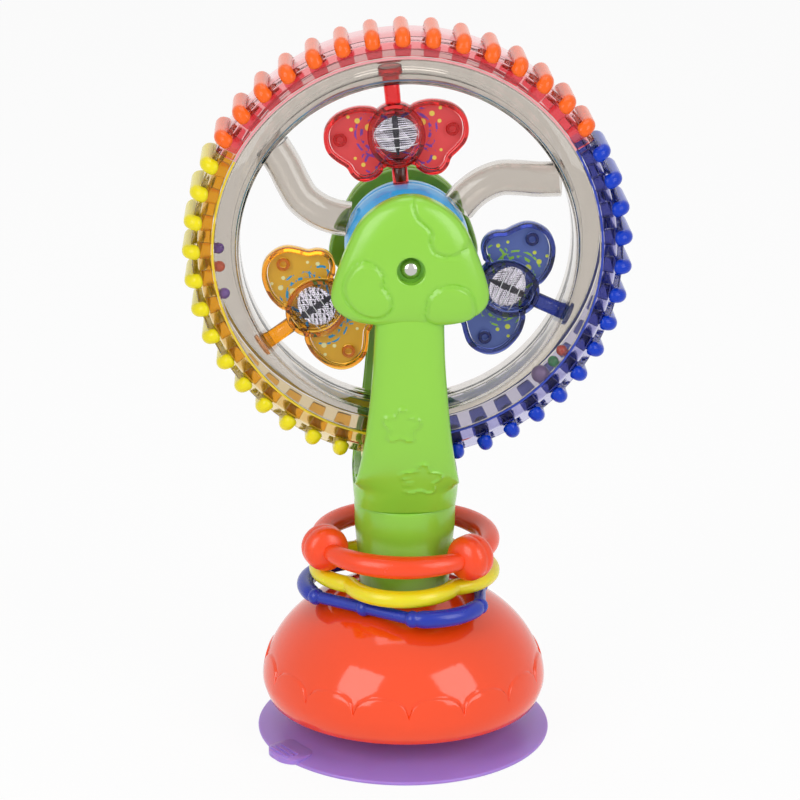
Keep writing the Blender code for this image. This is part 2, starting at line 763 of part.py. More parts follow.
def build_rim_shells():
    inner = rim_inner_radius
    width = rim_half_width
    edge = rim_edge_round
    for side, sign in (("front", 1), ("rear", -1)):
        outside = [(inner, joint_gap / 2), (inner, width - edge), (inner + edge * 0.3, width - edge * 0.3)]
        outside += [(inner + edge, width), (rim_lip_radius, rim_lip_half_width)]
        inside = [(rim_lip_radius, rim_lip_half_width - rim_wall), (inner + edge, width - rim_wall)]
        inside += [(inner + rim_wall, width - edge), (inner + rim_wall, joint_gap / 2)]
        profile = [(r, z * sign) for r, z in outside + inside]
        name = "rim_shell_" + side
        shell = place(turned(name, profile, 42), plastic(name + " clear PS", "D9D3CC", 0.06, 0, 0.95), wheel_axis)
        holes = radial_holes(name + "_post_hole", post_radius + joint_gap, 2 * rim_inner_radius)
        combine(shell, holes, "DIFFERENCE")


def section_profile():
    """Outer then inner points of the coloured channel, as radius and depth."""
    low = rim_lip_radius + joint_gap
    width = rim_lip_half_width
    full = rim_half_width - section_wall * 0.3
    top = rim_section_radius
    edge = section_edge_round
    outer = [(low, width), (top - edge, full), (top, full - edge)]
    inner = [(section_inner_radius, full - 2 * edge), (low, width - section_wall)]
    loop = outer + [(r, -z) for r, z in outer[::-1]] + [(r, -z) for r, z in inner[::-1]] + inner
    return loop


def build_rim_sections():
    colours = {"orange": "FF7823", "yellow": "EBE13C", "blue": "1440B4"}
    trim = joint_gap / 2 / rim_section_radius
    bump_centre = wheel_outer_radius - bump_radius
    full = rim_half_width - section_wall * 0.3
    pitch = wheel_sector / bumps_per_section
    for k, (colour, code) in enumerate(colours.items()):
        middle = first_post + wheel_sector * k - pitch / 2
        start = middle - wheel_sector / 2
        angles = [start + trim] + [start + pitch * i for i in range(1, bumps_per_section)]
        angles.append(start + wheel_sector - trim)
        profile = section_profile()
        sections = [[polar(r, a, z) for r, z in profile] for a in angles]
        name = "rim_section_" + colour
        part = place(loft(name, sections), plastic(name + " PS", code, 0.15, 0, 0.3), wheel_axis)
        bumps = []
        for i in range(bumps_per_section):
            angle = start + pitch * (i + 0.5)
            path = [(bump_centre - 0.6 * bump_radius, full + bump_radius * 0.15)]
            path += [(bump_centre, full - 1.5 * bump_radius)]
            points = [polar(r, angle, z) for r, z in path] + [polar(r, angle, -z) for r, z in path[::-1]]
            bumps.append(tube_mesh("bump", points, bump_radius, shares=[0.7, 1, 1, 0.7], resolution=1))
        combine(part, place(joined(name + "_bumps", bumps), parent=wheel_axis, guide=True), "UNION")


# Spinners
WING_SHARES = [
    (0.18, 0.66), (0.36, 0.81), (0.55, 0.84), (0.74, 0.75), (0.91, 0.54), (1.00, 0.18),
    (0.98, -0.22), (0.86, -0.54), (0.71, -0.78), (0.64, -1.03), (0.50, -1.16), (0.345, -1.09),
    (0.18, -0.86),
]
SPINNER_COLOURS = {"red": ("E15A5C", 0), "yellow": ("E0A92C", 1), "blue": ("32466E", 2)}


def oval(half_width, half_height, parts=20):
    return [Vector((half_width * math.cos(math.tau * i / parts), half_height * math.sin(math.tau * i / parts))) for i in range(parts)]


def half_rod(name, radius, start, end):
    """The front half of a rod along Y, split just in front of its own middle."""
    half = [math.pi * i / 4 for i in range(5)]
    section = [(radius * math.cos(a), max(radius * math.sin(a), joint_gap / 2)) for a in half]
    return loft(name, [[(x, y, z) for x, z in section] for y in (start, end)])


def wing_outline(margin=0.0):
    half = [(x * (spinner_half_span - margin), y * (spinner_half_height - margin)) for x, y in WING_SHARES]
    return [Vector(p) for p in half] + [Vector((-x, y)) for x, y in half[::-1]]


def build_spinner(colour, code, index):
    angle = wheel_sector * index
    centre = polar(spinner_centre_radius, first_post + angle)
    axis = new_axis(colour + "_spinner_axis", centre, (0, 0, angle), wheel_axis)
    back = card_thickness / 2 + joint_gap
    face = back + wing_thickness
    frame_out = body_half_height + body_frame_width + joint_gap
    for side, sign in (("front", 1), ("rear", -1)):
        name = "%s_wings_%s" % (colour, side)
        flip = 0 if sign > 0 else math.pi
        levels = [(back, 1.0), (face - wing_edge_round, 1.0), (face, 1 - wing_edge_round / spinner_half_span * 1.4)]
        wings = place(slab(name, wing_outline(), levels), plastic(name + " PS", code, 0.1, 0, 0.5), axis)
        wings.rotation_euler = (0, flip, 0)
        width = body_half_width + body_frame_width + joint_gap
        frame_levels = [(back + face_step, 1.0), (back + body_frame_height, 0.95)]
        frame = place(slab(name + "_frame", oval(width, frame_out, 12), frame_levels), parent=axis, guide=True)
        frame.rotation_euler = (0, flip, 0)
        combine(wings, frame, "UNION")
        low = post_inner_radius - spinner_centre_radius
        high = post_outer_radius - spinner_centre_radius + post_knob_length
        root = frame_out - body_frame_width / 2
        for label, start, end, radius in (
            ("inner_post", low, -root, post_radius),
            ("outer_post", root, high - face_step, post_radius),
            ("knob", high - post_knob_length, high, post_knob_radius),
        ):
            post = place(half_rod("%s_%s" % (name, label), radius, start, end), parent=axis, guide=True)
            post.rotation_euler = (0, flip, 0)
            combine(wings, post, "UNION")
        window = place(slab(name + "_window", oval(body_half_width + joint_gap, body_half_height + joint_gap, 12),
                            [(-cut_overrun, 1), (2 * body_frame_height, 1)]), parent=axis, guide=True)
        window.rotation_euler = (0, flip, 0)
        combine(wings, window, "DIFFERENCE")
        dome = []
        for i in range(4):
            lean = math.pi / 2 * i / 3
            dome.append((math.sin(lean), math.cos(lean)))
        outer = [(body_half_width * s, back + (body_dome_height - back) * c) for s, c in dome]
        inner_dome = [((body_half_width - body_wall) * s, back + (body_dome_height - back - body_wall) * c) for s, c in dome]
        name = "%s_body_%s" % (colour, side)
        body = place(turned(name, outer + inner_dome[::-1], 12), plastic(name + " clear PS", "E6E2E4", 0.05, 0, 0.95), axis)
        body.scale = (1, body_half_height / body_half_width, 1)
        body.rotation_euler = (0, flip, 0)
    card_outline = wing_outline(card_margin)
    card = place(slab(colour + "_card", card_outline, [(-card_thickness / 2, 1), (card_thickness / 2, 1)]),
                 plastic(colour + " card paper", "D8B23C", 0.6), axis)
    return card


# Beads in the rim channel
def build_beads():
    side = rim_half_width - 2 * rim_wall
    beads = [
        ("bead_purple", "8246C8", 173.5, bead_small_radius),
        ("bead_orange", "FF6420", 179.2, bead_small_radius),
        ("bead_violet", "9664DC", -172.2, bead_small_radius),
        ("bead_red", "F05046", -39.7, bead_small_radius),
        ("bead_green", "1EA064", -44.0, bead_small_radius),
        ("bead_lilac", "9678B4", -49.8, bead_large_radius),
    ]
    for name, code, degrees, radius in beads:
        angle = math.radians(degrees)
        bead = place(ball(name, radius, 8, 5), plastic(name + " PS", code, 0.2), wheel_axis)
        bead.location = polar(bead_track_radius, angle, side - radius - joint_gap)


# Rings round the neck
def dome_rest_height(radius, clearance):
    """Height at which a ball of this clearance rests on the dome."""
    rise = dome_height_at(radius) - dome_waist_height
    slope = dome_rise ** 2 * radius / (dome_radius ** 2 * rise)
    return dome_height_at(radius) + clearance * math.hypot(1, slope)


blue_side_radius = blue_ring_radius * math.cos(blue_side_half_angle)
blue_ring_height = dome_rest_height(blue_side_radius, blue_ball_radius + joint_gap)
yellow_ring_height = blue_ring_height + blue_ball_radius + joint_gap + yellow_tube_radius
orange_ring_height = yellow_ring_height + yellow_tube_radius + joint_gap + collar_radius


def build_orange_ring():
    axis = new_axis("orange_ring_axis", (0, 0, orange_ring_height), (0, 0, orange_rest_turn))
    points = []
    shares = []
    for i in range(20):
        angle = math.tau * i / 20
        points.append(polar(orange_ring_radius, angle))
        shares.append(orange_tube_end_share + (1 - orange_tube_end_share) * abs(math.sin(angle * 1.5)))
    ring = place(tube_mesh("ring_orange", points, orange_tube_radius, True, shares, 2), plastic("orange ring PE", "FF5519", 0.25), axis)
    collars = []
    for k in range(3):
        collar = ball("collar", collar_radius, 10, 6)
        squeeze = Matrix.Diagonal((1, collar_half_length / collar_radius, 1, 1))
        collar.matrix_basis = Matrix.Rotation(wheel_sector * k, 4, "Z") @ Matrix.Translation((orange_ring_radius, 0, 0)) @ squeeze
        collars.append(collar)
    combine(ring, place(joined("ring_orange_collars", collars), parent=axis, guide=True), "UNION")


def build_yellow_ring():
    axis = new_axis("yellow_ring_axis", (0, 0, yellow_ring_height), (0, 0, yellow_rest_turn))
    points = []
    for i in range(28):
        angle = math.tau * i / 28
        wave = 2 * abs(math.cos(angle * yellow_lobes / 2)) ** 0.8 - 1
        points.append(polar(yellow_ring_radius + yellow_wave * wave, angle))
    place(tube_mesh("ring_yellow", points, yellow_tube_radius, True, None, 1), plastic("yellow ring PE", "EBE128", 0.25), axis)


def build_blue_ring():
    axis = new_axis("blue_ring_axis", (0, 0, blue_ring_height), (0, 0, blue_rest_turn))
    points = []
    shares = []
    places = []
    rod_share = blue_rod_radius / blue_tube_radius
    corner = math.tau / blue_sides - 2 * blue_side_half_angle
    for k in range(blue_sides):
        middle = math.tau * k / blue_sides
        start = polar(blue_ring_radius, middle - blue_side_half_angle)
        end = polar(blue_ring_radius, middle + blue_side_half_angle)
        places += [start, (start + end) / 2, end]
        points += [start, end]
        shares += [rod_share, rod_share]
        for i in range(1, 5):
            share = i / 5
            bulge = math.sin(math.pi * share)
            radius = blue_ring_radius + (blue_bulge_radius - blue_ring_radius) * bulge
            points.append(polar(radius, middle + blue_side_half_angle + corner * share))
            shares.append(1.0)
    ring = place(tube_mesh("ring_blue", points, blue_tube_radius, True, shares, 1), plastic("blue ring PE", "1B30AF", 0.25), axis)
    balls = []
    for spot in places:
        bead = ball("ball", blue_ball_radius, 8, 4)
        bead.matrix_basis = Matrix.Translation(spot)
        balls.append(bead)
    combine(ring, place(joined("ring_blue_balls", balls), parent=axis, guide=True), "UNION")


build_suction_cup()
build_base_dome()
build_base_plate()
build_neck()
build_arm("front", front_cap_top)
build_arm("rear", rear_cap_top)
build_liner("front", front_cap_top)
build_liner("rear", rear_cap_top)
build_axle()
build_hub()
build_spokes()
build_rim_shells()
build_rim_sections()
for spinner, (spinner_code, spinner_index) in SPINNER_COLOURS.items():
    build_spinner(spinner, spinner_code, spinner_index)
build_beads()
build_orange_ring()
build_yellow_ring()
build_blue_ring()
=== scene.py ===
"""A suction-cup wheel toy: the finish and the fine form of its pieces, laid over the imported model."""
import json
import math
import bmesh
import bpy
import numpy as np
from mathutils import Matrix, Vector


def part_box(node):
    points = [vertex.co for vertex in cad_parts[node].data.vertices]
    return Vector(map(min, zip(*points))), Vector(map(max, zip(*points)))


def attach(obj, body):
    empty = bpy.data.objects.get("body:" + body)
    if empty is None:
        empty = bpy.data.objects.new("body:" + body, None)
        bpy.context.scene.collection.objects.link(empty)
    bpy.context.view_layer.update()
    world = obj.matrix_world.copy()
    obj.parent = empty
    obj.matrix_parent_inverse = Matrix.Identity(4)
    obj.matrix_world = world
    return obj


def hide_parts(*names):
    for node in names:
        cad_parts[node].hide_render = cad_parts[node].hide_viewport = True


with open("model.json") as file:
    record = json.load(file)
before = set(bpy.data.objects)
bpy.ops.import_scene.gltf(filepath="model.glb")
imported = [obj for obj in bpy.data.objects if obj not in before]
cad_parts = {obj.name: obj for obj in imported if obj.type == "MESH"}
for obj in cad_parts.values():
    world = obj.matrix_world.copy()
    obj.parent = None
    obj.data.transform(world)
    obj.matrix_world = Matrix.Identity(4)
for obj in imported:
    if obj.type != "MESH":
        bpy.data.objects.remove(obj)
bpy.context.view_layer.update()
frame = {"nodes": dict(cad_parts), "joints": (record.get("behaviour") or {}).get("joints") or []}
mm = 0.001
scene = bpy.context.scene

# Camera
# It stands where the photograph was taken from, about 0.95 m in front and a little above the wheel.
# Its place, aim and focal length come from fitting the rim, the bumps and the cup to the photograph.
yaw, pitch, roll = 0.038, 0.307, 0.007
picture_widths_of_focal_length = 3.43646
film_width = 36
camera_place = Vector((-38.158, -950.0, 429.143)) * mm
ahead = Vector((math.sin(yaw) * math.cos(pitch), math.cos(yaw) * math.cos(pitch), -math.sin(pitch)))
level = Vector((math.cos(yaw), -math.sin(yaw), 0))
above = level.cross(ahead)
across = math.cos(roll) * level + math.sin(roll) * above
upward = math.cos(roll) * above - math.sin(roll) * level
camera_data = bpy.data.cameras.new("camera")
camera_data.sensor_width = film_width
camera_data.lens = film_width * picture_widths_of_focal_length
camera_data.clip_end = 50
camera = bpy.data.objects.new("camera", camera_data)
scene.collection.objects.link(camera)
aim = Matrix((across, upward, -ahead)).transposed()
camera.matrix_world = Matrix.Translation(camera_place) @ aim.to_4x4()
scene.camera = camera
scene.view_settings.view_transform = "Standard"


# Studio
# A seamless white sweep under a white sky. Two large softboxes in front give the square
# highlights of the photograph, and a third overhead one lights the tops.
def linear(code):
    """An sRGB hex colour as linear red, green, blue and one for alpha."""
    shares = [int(code[i:i + 2], 16) / 255 for i in (0, 2, 4)]
    return [v / 12.92 if v <= 0.04045 else ((v + 0.055) / 1.055) ** 2.4 for v in shares] + [1.0]


def add_node(tree, kind, inputs, **settings):
    """Adds a node; an input is a value, or a node and the name of its output to link from."""
    node = tree.nodes.new(kind)
    for key, value in settings.items():
        setattr(node, key, value)
    for key, value in inputs.items():
        if isinstance(value, tuple) and isinstance(value[0], bpy.types.Node):
            tree.links.new(value[0].outputs[value[1]], node.inputs[key])
        else:
            node.inputs[key].default_value = value
    return node


def new_material(name):
    material = bpy.data.materials.new(name)
    material.use_nodes = True
    material.node_tree.nodes.clear()
    return material, material.node_tree


def seen_directly(tree):
    """One for rays from the camera, off a gloss or through a clear piece, and zero for others."""
    ray = add_node(tree, "ShaderNodeLightPath", {})
    either = {0: (ray, "Is Camera Ray"), 1: (ray, "Is Glossy Ray")}
    seen = add_node(tree, "ShaderNodeMath", either, operation="MAXIMUM")
    either = {0: (seen, "Value"), 1: (ray, "Is Transmission Ray")}
    return add_node(tree, "ShaderNodeMath", either, operation="MAXIMUM")


# Matt paper that looks nearly plain white, with a trace of the toy's shadow left on it.
sweep_paper, tree = new_material("sweep_paper")
white_share = 0.93
share = add_node(tree, "ShaderNodeMath", {
    0: (seen_directly(tree), "Value"), 1: white_share,
}, operation="MULTIPLY")
paper = add_node(tree, "ShaderNodeBsdfDiffuse", {"Color": linear("F7F7F7")})
white = add_node(tree, "ShaderNodeEmission", {"Color": linear("FFFFFF"), "Strength": 1.0})
mixed = add_node(tree, "ShaderNodeMixShader", {
    0: (share, "Value"), 1: (paper, "BSDF"), 2: (white, "Emission"),
})
add_node(tree, "ShaderNodeOutputMaterial", {"Surface": (mixed, "Shader")})

floor_radius = 6
floor_drop = 0.05 * mm
floor_shape = bmesh.new()
bmesh.ops.create_circle(floor_shape, cap_ends=True, segments=96, radius=floor_radius)
floor_mesh = bpy.data.meshes.new("floor")
floor_shape.to_mesh(floor_mesh)
floor_shape.free()
floor_mesh.materials.append(sweep_paper)
floor = bpy.data.objects.new("floor", floor_mesh)
floor.location = (0, 0, -floor_drop)
scene.collection.objects.link(floor)

sky = bpy.data.worlds.new("white_sky")
scene.world = sky
sky.use_nodes = True
tree = sky.node_tree
tree.nodes.clear()
sky_fill = 0.34
strength = add_node(tree, "ShaderNodeMapRange", {0: (seen_directly(tree), "Value"), 3: sky_fill, 4: 1.0})
glow = add_node(tree, "ShaderNodeBackground", {
    "Color": linear("FFFFFF"), "Strength": (strength, "Result"),
})
add_node(tree, "ShaderNodeOutputWorld", {"Surface": (glow, "Background")})

lamp_target = Vector((0, 0, 0.14))
for name, place, width, height, watts in (
    ("left_softbox", (-0.82, -0.86, 0.72), 0.75, 1.0, 7.4),
    ("right_softbox", (0.86, -0.8, 0.7), 0.7, 1.0, 6.6),
    ("top_softbox", (0.0, 0.3, 1.5), 0.9, 0.9, 4.5),
):
    lamp_data = bpy.data.lights.new(name, "AREA")
    lamp_data.shape = "RECTANGLE"
    lamp_data.size = width
    lamp_data.size_y = height
    lamp_data.energy = watts
    lamp = bpy.data.objects.new(name, lamp_data)
    lamp.location = place
    lamp.rotation_euler = (lamp_target - Vector(place)).to_track_quat("-Z", "Y").to_euler()
    scene.collection.objects.link(lamp)


# Suction cup
# A soft PVC cup, moulded in one, slightly see-through at its thin edge, with a ribbed tab that
# lets the air in. Its stud goes up through the base plate.
def soft_pvc(name, code):
    """Soft PVC: a satin skin with a faint flow mark, and light that sinks a little way in."""
    material, tree = new_material(name)
    place = add_node(tree, "ShaderNodeTexCoord", {})
    flow = add_node(tree, "ShaderNodeTexNoise", {
        "Vector": (place, "Object"), "Scale": 1 / (18 * mm), "Detail": 3.0,
    })
    fine = add_node(tree, "ShaderNodeTexNoise", {
        "Vector": (place, "Object"), "Scale": 1 / (0.8 * mm), "Detail": 2.0,
    })
    value = add_node(tree, "ShaderNodeMapRange", {0: (flow, "Fac"), 3: 0.95, 4: 1.05})
    tint = add_node(tree, "ShaderNodeHueSaturation", {"Color": linear(code), "Value": (value, "Result")})
    rough = add_node(tree, "ShaderNodeMapRange", {0: (flow, "Fac"), 3: 0.32, 4: 0.44})
    bump = add_node(tree, "ShaderNodeBump", {
        "Height": (fine, "Fac"), "Strength": 0.06, "Distance": 0.1 * mm,
    })
    skin = add_node(tree, "ShaderNodeBsdfPrincipled", {
        "Base Color": (tint, "Color"), "Roughness": (rough, "Result"), "Normal": (bump, "Normal"),
        "IOR": 1.52, "Subsurface Weight": 0.25, "Subsurface Scale": 3 * mm,
    })
    add_node(tree, "ShaderNodeOutputMaterial", {"Surface": (skin, "BSDF")})
    return material


def softened(corners, radius, parts=4, closed=True):
    """Rounds the corners of a drawn profile."""
    out = []
    count = len(corners)
    for i, corner in enumerate(corners):
        here = Vector(corner)
        if not closed and i in (0, count - 1):
            out.append(here)
            continue
        before = Vector(corners[i - 1]) - here
        after = Vector(corners[(i + 1) % count]) - here
        reach = min(radius, before.length * 0.45, after.length * 0.45)
        start = here + before.normalized() * reach
        end = here + after.normalized() * reach
        for k in range(parts + 1):
            t = k / parts
            out.append(start * (1 - t) ** 2 + here * 2 * t * (1 - t) + end * t ** 2)
    return out


def skin_rings(shape, rings, around=False, caps=True):
    """Skins rings of points with faces; the last ring meets the first if it goes around."""
    made = [[shape.verts.new(p) for p in ring] for ring in rings]
    count = len(made[0])
    for low, high in zip(made, made[1:] + (made[:1] if around else [])):
        for i in range(count):
            j = (i + 1) % count
            shape.faces.new((low[i], low[j], high[j], high[i]))
    if caps and not around:
        shape.faces.new(made[0][::-1])
        shape.faces.new(made[-1])
    return shape


def spun(profile, steps=96, start=0.0, turn=math.tau, shape=None):
    """Turns a closed profile of radius and height round Z, all the way or through an arc."""
    full = abs(turn - math.tau) < 1e-6
    angles = [start + turn * k / steps for k in range(steps if full else steps + 1)]
    rings = [[Vector((r * math.cos(a), r * math.sin(a), z)) for r, z in profile] for a in angles]
    return skin_rings(shape or bmesh.new(), rings, around=full)


def moulding(name, shape, material, body, slot, *solids):
    """Makes one piece of the toy from its shape, on the body that carries it."""
    bmesh.ops.remove_doubles(shape, verts=shape.verts, dist=0.001 * mm)
    bmesh.ops.recalc_face_normals(shape, faces=shape.faces)
    mesh = bpy.data.meshes.new(name)
    shape.to_mesh(mesh)
    shape.free()
    mesh.materials.append(material)
    mesh.shade_smooth()
    mesh.set_sharp_from_angle(angle=math.radians(38))
    piece = bpy.data.objects.new(name, mesh)
    scene.collection.objects.link(piece)
    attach(piece, body)
    if solids:
        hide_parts(*solids)
    return piece


purple_pvc = soft_pvc("purple_soft_pvc", "AC86E0")
cup_lines = [
    (0, 19.4), (5.5, 19.4), (7.8, 16.5), (6, 16.5), (6, 13.9), (14, 13.9), (14, 12.8), (30, 6.4),
    (44.7, 3.2), (54.2, 1.3), (54.5, 0.6), (54.2, 0.02), (48.5, 0.02), (33.8, 3.4), (16.4, 6.9), (0, 8),
]
cup = spun([p * mm for p in softened(cup_lines, 1.2, 3, closed=False)], 128)
tab_angle = math.radians(-146)
tab_turn = Matrix.Rotation(tab_angle, 4, "Z")
tab_outline = softened([(46, -8.5), (55, -8.5), (58, -4), (58, 4), (55, 8.5), (46, 8.5)], 3.5, 6)
tab_rings = []
for height, inset in ((0.5, 0.5), (0.7, 0.0), (2.5, 0.0), (3.0, 0.6)):
    level_line = [Vector((p.x - inset, p.y * (1 - inset / 8), height)) for p in tab_outline]
    tab_rings.append([tab_turn @ p * mm for p in level_line])
skin_rings(cup, tab_rings)
first_rib, rib_pitch, rib_half_width, rib_half_length = 51.5, 2.2, 0.5, 5.5
for k in range(3):
    near = first_rib + rib_pitch * k - rib_half_width
    far = first_rib + rib_pitch * k + rib_half_width
    rib = [(near, -rib_half_length), (far, -rib_half_length), (far, rib_half_length), (near, rib_half_length)]
    rib = softened(rib, 0.5, 3)
    skin_rings(cup, [[tab_turn @ Vector((p.x, p.y, z)) * mm for p in rib] for z in (2.6, 3.5)])
moulding("suction_cup_skin", cup, purple_pvc, "stand", "cup_pvc", "suction_cup")


# Base dome
# A moulded ABS dome with a scalloped skirt in relief, polished in the tool so that it mirrors
# the softboxes. Its plate and screws under it are seen only from below.
def moulded_abs(name, code, roughness=0.16, waviness=0.05, reflectance=0.5):
    """ABS from a polished tool: a wet gloss with the faint orange peel and sink marks of moulding."""
    material, tree = new_material(name)
    place = add_node(tree, "ShaderNodeTexCoord", {})
    peel = add_node(tree, "ShaderNodeTexNoise", {
        "Vector": (place, "Object"), "Scale": 1 / (4 * mm), "Detail": 2.0,
    })
    cloud = add_node(tree, "ShaderNodeTexNoise", {
        "Vector": (place, "Object"), "Scale": 1 / (30 * mm), "Detail": 3.0,
    })
    value = add_node(tree, "ShaderNodeMapRange", {0: (cloud, "Fac"), 3: 0.975, 4: 1.025})
    tint = add_node(tree, "ShaderNodeHueSaturation", {"Color": linear(code), "Value": (value, "Result")})
    rough = add_node(tree, "ShaderNodeMapRange", {
        0: (cloud, "Fac"), 3: roughness - 0.03, 4: roughness + 0.05,
    })
    bump = add_node(tree, "ShaderNodeBump", {
        "Height": (peel, "Fac"), "Strength": waviness, "Distance": 0.2 * mm,
    })
    skin = add_node(tree, "ShaderNodeBsdfPrincipled", {
        "Base Color": (tint, "Color"), "Roughness": (rough, "Result"), "Normal": (bump, "Normal"),
        "IOR": 1.53, "Specular IOR Level": reflectance,
    })
    add_node(tree, "ShaderNodeOutputMaterial", {"Surface": (skin, "BSDF")})
    return material


orange_abs = moulded_abs("orange_moulded_abs", "FF4A0E", 0.08, 0.02)
dome_radius, dome_waist, dome_rise = 52.1, 20.0, 38.5
hole_radius = 16.9
scallops = 16
steps_per_scallop = 16
cusp_height, scallop_rise = 24.5, 6.5


def dome_radius_at(height):
    return dome_radius * math.sqrt(max(0.0, 1 - ((height - dome_waist) / dome_rise) ** 2))


dome_top = dome_waist + dome_rise * math.sqrt(1 - (hole_radius / dome_radius) ** 2)
dome_rings = []
for k in range(scallops * steps_per_scallop):
    angle = math.tau * k / (scallops * steps_per_scallop)
    arc = (k % steps_per_scallop) / steps_per_scallop * 2 - 1
    edge = cusp_height + scallop_rise * math.sqrt(max(0.0, 1 - abs(arc) ** 2.4))
    rows = [(50.2, 14.2), (50.6, 14.5), (51.6, 17.0), (52.5, dome_waist)]
    for part in (0.25, 0.5, 0.75, 0.9, 0.97):
        height = dome_waist + (edge - dome_waist) * part
        rows.append((dome_radius_at(height) + 0.55, height))
    for lift, proud in ((0.0, 0.5), (0.25, 0.35), (0.5, 0.08), (0.8, -0.12), (1.3, 0.0)):
        rows.append((dome_radius_at(edge + lift) + proud, edge + lift))
    for part in range(1, 25):
        lean = math.asin((edge + 1.3 - dome_waist) / dome_rise)
        steep = math.asin((dome_top - dome_waist) / dome_rise)
        lean += (steep - lean) * part / 24
        rows.append((dome_radius * math.cos(lean), dome_waist + dome_rise * math.sin(lean)))
    rows += [(hole_radius - 0.1, dome_top - 0.5), (hole_radius, dome_top - 2.2)]
    rows += [(42.0, 36.0), (50.0, dome_waist), (49.4, 14.2)]
    dome_rings.append([Vector((r * math.cos(angle), r * math.sin(angle), z)) * mm for r, z in rows])
dome = skin_rings(bmesh.new(), dome_rings, around=True)
moulding("base_dome_skin", dome, orange_abs, "stand", "base_orange", "base_dome")
plate_abs = moulded_abs("matt_orange_abs", "E84A12", 0.4)

# Zinc-plated steel: a bright grey with a fine satin grain that softens what it mirrors.
zinc_steel, tree = new_material("zinc_plated_steel")
place = add_node(tree, "ShaderNodeTexCoord", {})
grain = add_node(tree, "ShaderNodeTexNoise", {
    "Vector": (place, "Object"), "Scale": 1 / (0.5 * mm), "Detail": 2.0,
})
rough = add_node(tree, "ShaderNodeMapRange", {0: (grain, "Fac"), 3: 0.25, 4: 0.4})
skin = add_node(tree, "ShaderNodeBsdfPrincipled", {
    "Base Color": linear("B9BABB"), "Metallic": 1.0, "Roughness": (rough, "Result"),
})
add_node(tree, "ShaderNodeOutputMaterial", {"Surface": (skin, "BSDF")})


def finish_solid(node, material):
    """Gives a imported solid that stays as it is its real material."""
    solid = frame["nodes"][node]
    solid.data.materials.clear()
    solid.data.materials.append(material)


finish_solid("base_plate", plate_abs)
for k in (1, 2, 3):
    finish_solid("base_screw_%d" % k, zinc_steel)

# Neck
# A green ABS tube that widens towards the fork, with a fine parting line where the fork sits on it.
green_abs = moulded_abs("green_moulded_abs", "92D440", 0.22, 0.03)
neck_lines = [
    (0, 97.4), (11, 97.4), (12, 96.8), (12, 90.6), (17.9, 90.6), (18.45, 90.2), (18.6, 89.4), (18.4, 80.7),
    (17.2, 68), (16.6, 60.3), (16.6, 52), (20, 52), (20, 50), (14.6, 50), (14.6, 60), (15.5, 88.7), (0, 88.7),
]
neck = spun([p * mm for p in softened(neck_lines, 0.5, 3, closed=False)], 96)
moulding("neck_skin", neck, green_abs, "stand", "body_green", "neck")


# Fork arms
# Two ABS shells with rounded backs, each swelling into a mushroom-shaped cap. The front cap has
# raised patches, and the front arm two flower outlines; the rear one is plain.
wheel_joint = [j for j in frame["joints"] if j["name"] == "wheel_turn"][0]
wheel_centre = Vector(wheel_joint["pos_m"])
axle_height = wheel_centre.z / mm
arm_stations = [
    (0.15, 91.0, 18.7, 91.0, 18.6), (0.15, 94.8, 20.9, 95.0, 19.0), (0.15, 99.0, 23.6, 99.6, 19.25),
    (10.5, 99.6, 26.3, 104.3, 19.1), (17.5, 102.5, 28.9, 108.8, 18.5), (20.5, 107.5, 31.3, 113.6, 17.5),
    (23.6, 115.0, 33.5, 119.8, 16.3), (26.8, 124.0, 35.2, 127.8, 15.05), (28.9, 134.0, 36.2, 136.2, 14.0),
    (29.3, 147.0, 36.5, 147.0, 12.9), (29.3, 160.0, 36.6, 160.0, 12.2), (29.3, 174.9, 36.6, 174.9, 11.9),
]
cap_half = [
    (0, 25.2), (5.3, 24.4), (12, 21), (17.8, 15.4), (22, 7.2), (25.6, -2.4), (27.4, -9.8), (26.3, -14.4),
    (22.3, -18), (17, -19.9), (10, -20.7), (0, -20.6),
]
patches = [
    [
        (-15.3, 2.7), (-11.4, 0.7), (-9.5, -2.5), (-9.9, -5.3), (-8.3, -8), (-6.8, -11.2), (-7.5, -14.4),
        (-10.6, -16.8), (-14.4, -16.8), (-18.3, -14.8), (-21.4, -11.2), (-22.9, -7.2), (-22.1, -3.2),
        (-19.8, 0.7), (-17.6, 2.3),
    ], [
        (1.4, 25.5), (1.3, 21.1), (3, 17.9), (5.7, 15.6), (7.2, 13.2), (6.9, 10.1), (8.4, 6.9), (12.3, 5.4),
        (16.1, 6.1), (19.9, 8.9), (21.6, 11.6), (19.3, 15), (15.8, 19.7), (11.5, 23.2), (6.9, 25.6),
    ], [
        (6.4, -18.7), (5.7, -12.9), (7, -8.9), (10.9, -6.1), (15.5, -5.7), (19.3, -7.3), (21.3, -10.5),
        (22, -15.3), (21.2, -19.5), (14, -22),
    ],
]
flowers = [(-2.7, -57.1, 7.0), (4.8, -79.8, 7.7)]
recess_radius, recess_depth = 4.85, 34.9
front_cap_top, rear_cap_top = 25.2, 21.6


def through(points, parts, closed=False):
    """A smooth line through points of any number of numbers."""
    given = [np.array(p, float) for p in points]
    count = len(given)
    if not closed:
        given = [2 * given[0] - given[1]] + given + [2 * given[-1] - given[-2]]
    spans = range(count) if closed else range(1, count)
    out = []
    for i in spans:
        a, b, c, d = (given[(i + k) % len(given)] for k in (-1, 0, 1, 2))
        for step in range(parts):
            t = step / parts
            square = (2 * a - 5 * b + 4 * c - d) * t ** 2
            cube = (3 * b - 3 * c + d - a) * t ** 3
            out.append((2 * b + (c - a) * t + square + cube) / 2)
    return out if closed else out + [given[count]]


